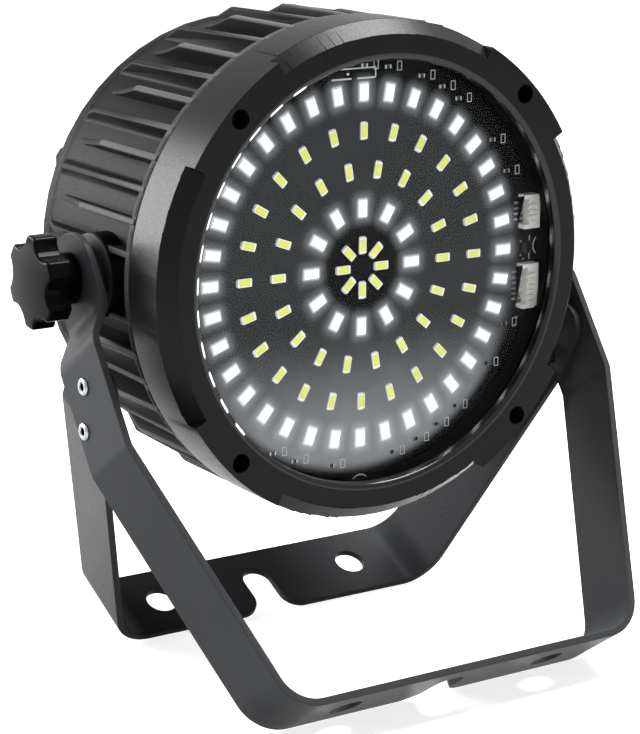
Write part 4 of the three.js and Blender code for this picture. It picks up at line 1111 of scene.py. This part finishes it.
refinedNodes = {  # slot, finish, edge in millimetres, and the nodes with their bodies
    "cover": ("housing_plastic", drumPlastic, 0.25, {"rear_cover": "head"}),
    "feet": ("rubber", blackRubber, 0.4, {f"foot_{number}": "head" for number in (1, 2, 3, 4)}),
    "buttons": ("rubber", blackRubber, 0.2, {
        key + "_button": key + "_key" for key in ("menu", "down", "up", "enter")
    }),
    "sockets": ("gloss_plastic", bezelPlastic, 0.2, {
        "data_inlet": "head", "data_outlet": "head", "power_inlet": "head", "power_outlet": "head",
        "fuse_holder": "head", "fuse_cap": "fuse_drawer",
    }),
    "spacers": ("rubber", blackRubber, 0.4, {
        f"pivot_spacer_{side}": "head" for side in ("left", "right")
    }),
}
for slot, material, edge, bodies in refinedNodes.values():
    for nodeName, body in bodies.items():
        refined(nodeName, material, edge, body, refining)
print("rear pieces ready")


# Rear panel: bright contacts in the sockets, and lit figures behind the smoked window
rearPanel = {
    "face": -92.3, "mouth": -94.8, "contactReach": (4.4, 35.2),
    "data": (-22, -2), "pinCircle": 5.2, "pinHalf": (1.3, 1.3),
    "power": (-24, -37), "blades": ((-7, -2), (0, 2), (7, -2)), "bladeHalf": (1.1, 2.1),
    "display": (0, 46), "digits": "d001", "digitPitch": 5.6, "digitSize": (3.4, 6.6),
    "segment": 0.7, "slant": 0.1, "proud": 0.05,
}
segments = {  # the lit segments of each figure: top, two right, bottom, two left, middle
    "d": (0, 1, 1, 1, 1, 0, 1), "0": (1, 1, 1, 1, 1, 1, 0), "1": (0, 1, 1, 0, 0, 0, 0),
}


def plateContacts(s, socket, contacts, half):  # the contacts inside a socket turn to metal
    obj = bpy.data.objects[socket + "_inlet_soft"]
    obj.data.materials.append(tinned)
    front, back = (headY - (s["mouth"] + depth) * mm for depth in s["contactReach"])
    acrossHalf, upHalf = (part * mm for part in half)
    middles = [
        (mm * (s[socket][0] + x), axisHeight + mm * (s[socket][1] + z)) for x, z in contacts
    ]

    def inContact(at, x, z):
        return abs(at.x - x) < acrossHalf and abs(at.z - z) < upHalf and back < at.y < front

    pick(obj, lambda at, face: any(
        all(inContact(corner.co, x, z) for corner in face.verts) for x, z in middles
    ))
    paintPicked(obj)


def makeDigits(s):  # seen from behind, so the figures run towards -x
    glow = newMaterial(
        "lit display digits", color=linear("#300604"), glow=linear("#ff2b14"), glowPower=1.4,
    )[0]
    width, tall = s["digitSize"]
    line = s["segment"]
    wide = (width - line, line, s["proud"])
    high = (line, tall / 2 - line, s["proud"])
    bars = (
        (0, tall / 2, wide), (width / 2, tall / 4, high), (width / 2, -tall / 4, high),
        (0, -tall / 2, wide), (-width / 2, -tall / 4, high), (-width / 2, tall / 4, high),
        (0, 0, wide),
    )
    pieces = []
    start = (len(s["digits"]) - 1) / 2
    for index, figure in enumerate(s["digits"]):
        for lit, (x, y, size) in zip(segments[figure], bars):
            if lit:
                along = (index - start) * s["digitPitch"] + x + s["slant"] * y
                spot = (s["display"][0] - along, s["display"][1] + y, s["face"] - s["proud"] / 2)
                pieces.append(brick("segment", size, spot))
    onHead(together("digits", *pieces), "display_digits", "lens_plastic", glow)


pinSpots = [around(rearPanel["pinCircle"], angle) for angle in (90, 210, 330)]
plateContacts(rearPanel, "data", pinSpots, rearPanel["pinHalf"])
plateContacts(rearPanel, "power", rearPanel["blades"], rearPanel["bladeHalf"])
makeDigits(rearPanel)
print("rear panel ready")


# Smoked acrylic of the display window: nearly black, smooth as glass
smokedAcrylic = grained("smoked acrylic", "#0c0405", "#100506", 0.06, 0.01, 2, 0.0)
# The pieces that keep the CAD's mesh, each with its finish
keptNodes = {
    "lens_gasket": blackRubber, "board_spacer_ring": bezelPlastic, "mounting_plate": bareAluminium,
    "display_window": smokedAcrylic, "display_module": greenMask, "control_board": greenMask,
    "power_supply_board": greenMask, "transformer": yellowTape, "capacitor": bezelPlastic,
    "mains_lead": blackRubber, "wiring_loom": blackRubber,
    "pivot_insert_left": turnedBrass, "pivot_insert_right": turnedBrass,
    "knob_stud_left": brightZinc, "knob_stud_right": brightZinc,
}
for nodeName, material in keptNodes.items():
    nodes[nodeName].data.materials.clear()
    nodes[nodeName].data.materials.append(material)
print("frame pieces finished")


# Camera, floor and light; the camera's place and turn were solved from the rings of LEDs
view = {
    "spot": (-0.4959, -0.7443, 0.3358), "right": (0.83764, -0.54618, 0.00657),
    "up": (0.12923, 0.20985, 0.96916), "ahead": (0.53071, 0.81096, -0.24636),
    "lens": 121.9, "sensor": 36, "near": 0.01,
}
camera = bpy.data.objects.new("camera", bpy.data.cameras.new("camera"))
bpy.context.scene.collection.objects.link(camera)
columns = [Vector(view["right"]), Vector(view["up"]), -Vector(view["ahead"]), Vector(view["spot"])]
camera.matrix_world = Matrix([*zip(*columns), (0, 0, 0, 1)])
camera.data.lens = view["lens"]
camera.data.sensor_width = view["sensor"]
camera.data.clip_start = view["near"]
bpy.context.scene.camera = camera

studio = {
    "floorSize": 6, "floorTone": "#c8c8c8", "floorGlow": 0.8, "plain": 0.2,
    "lamps": {  # place, watts, width and height
        "left_softbox": ((-0.97, 1.4, 0.52), 40, (0.8, 0.9)),
        "high_softbox": ((-1.3, 0.6, 1.0), 10, (0.8, 0.8)),
        "top_softbox": ((0.65, -0.13, 1.5), 60, (0.7, 0.7)),
    },
}


def seenRays(tree):  # 1 where the camera, a mirror or a clear piece looks straight at it
    rays = addNode(tree, "LightPath").outputs
    both = work(tree, "MAXIMUM", rays["Is Camera Ray"], rays["Is Glossy Ray"])
    return work(tree, "MAXIMUM", both, rays["Is Transmission Ray"])


def makeFloor(s):  # white card: it looks white by itself and still takes the lamp's shadow
    deselect()
    bpy.ops.mesh.primitive_plane_add(size=s["floorSize"])
    floor = bpy.context.object
    floor.name = "studio_floor"
    material, tree, shader, place = newMaterial(
        "white studio card", color=linear(s["floorTone"]), rough=0.9, specular=0.1,
    )
    shader.inputs["Emission Color"].default_value = linear("#ffffff")
    glow = work(tree, "MULTIPLY", seenRays(tree), s["floorGlow"])
    tree.links.new(glow, shader.inputs["Emission Strength"])
    floor.data.materials.append(material)


def makeWorld(s):
    world = bpy.data.worlds.new("studio")
    bpy.context.scene.world = world
    world.use_nodes = True
    tree = world.node_tree
    background = tree.nodes["Background"]
    background.inputs["Color"].default_value = linear("#ffffff")
    power = addNode(tree, "Mix", {0: seenRays(tree), 2: s["plain"], 3: 1.0}, data_type="FLOAT")
    tree.links.new(power.outputs[0], background.inputs["Strength"])


def softLamp(name, spot, power, size):
    lamp = bpy.data.objects.new(name, bpy.data.lights.new(name, "AREA"))
    bpy.context.scene.collection.objects.link(lamp)
    lamp.data.shape = "RECTANGLE"
    lamp.data.size, lamp.data.size_y = size
    lamp.data.energy = power
    lamp.visible_camera = False
    lamp.location = spot
    aim = Vector((0, 0, axisHeight)) - Vector(spot)
    lamp.rotation_euler = aim.to_track_quat("-Z", "Y").to_euler()


makeFloor(studio)
makeWorld(studio)
for name, (spot, power, size) in studio["lamps"].items():
    softLamp(name, spot, power, size)
bpy.context.scene.view_settings.view_transform = "Standard"
print("studio ready")
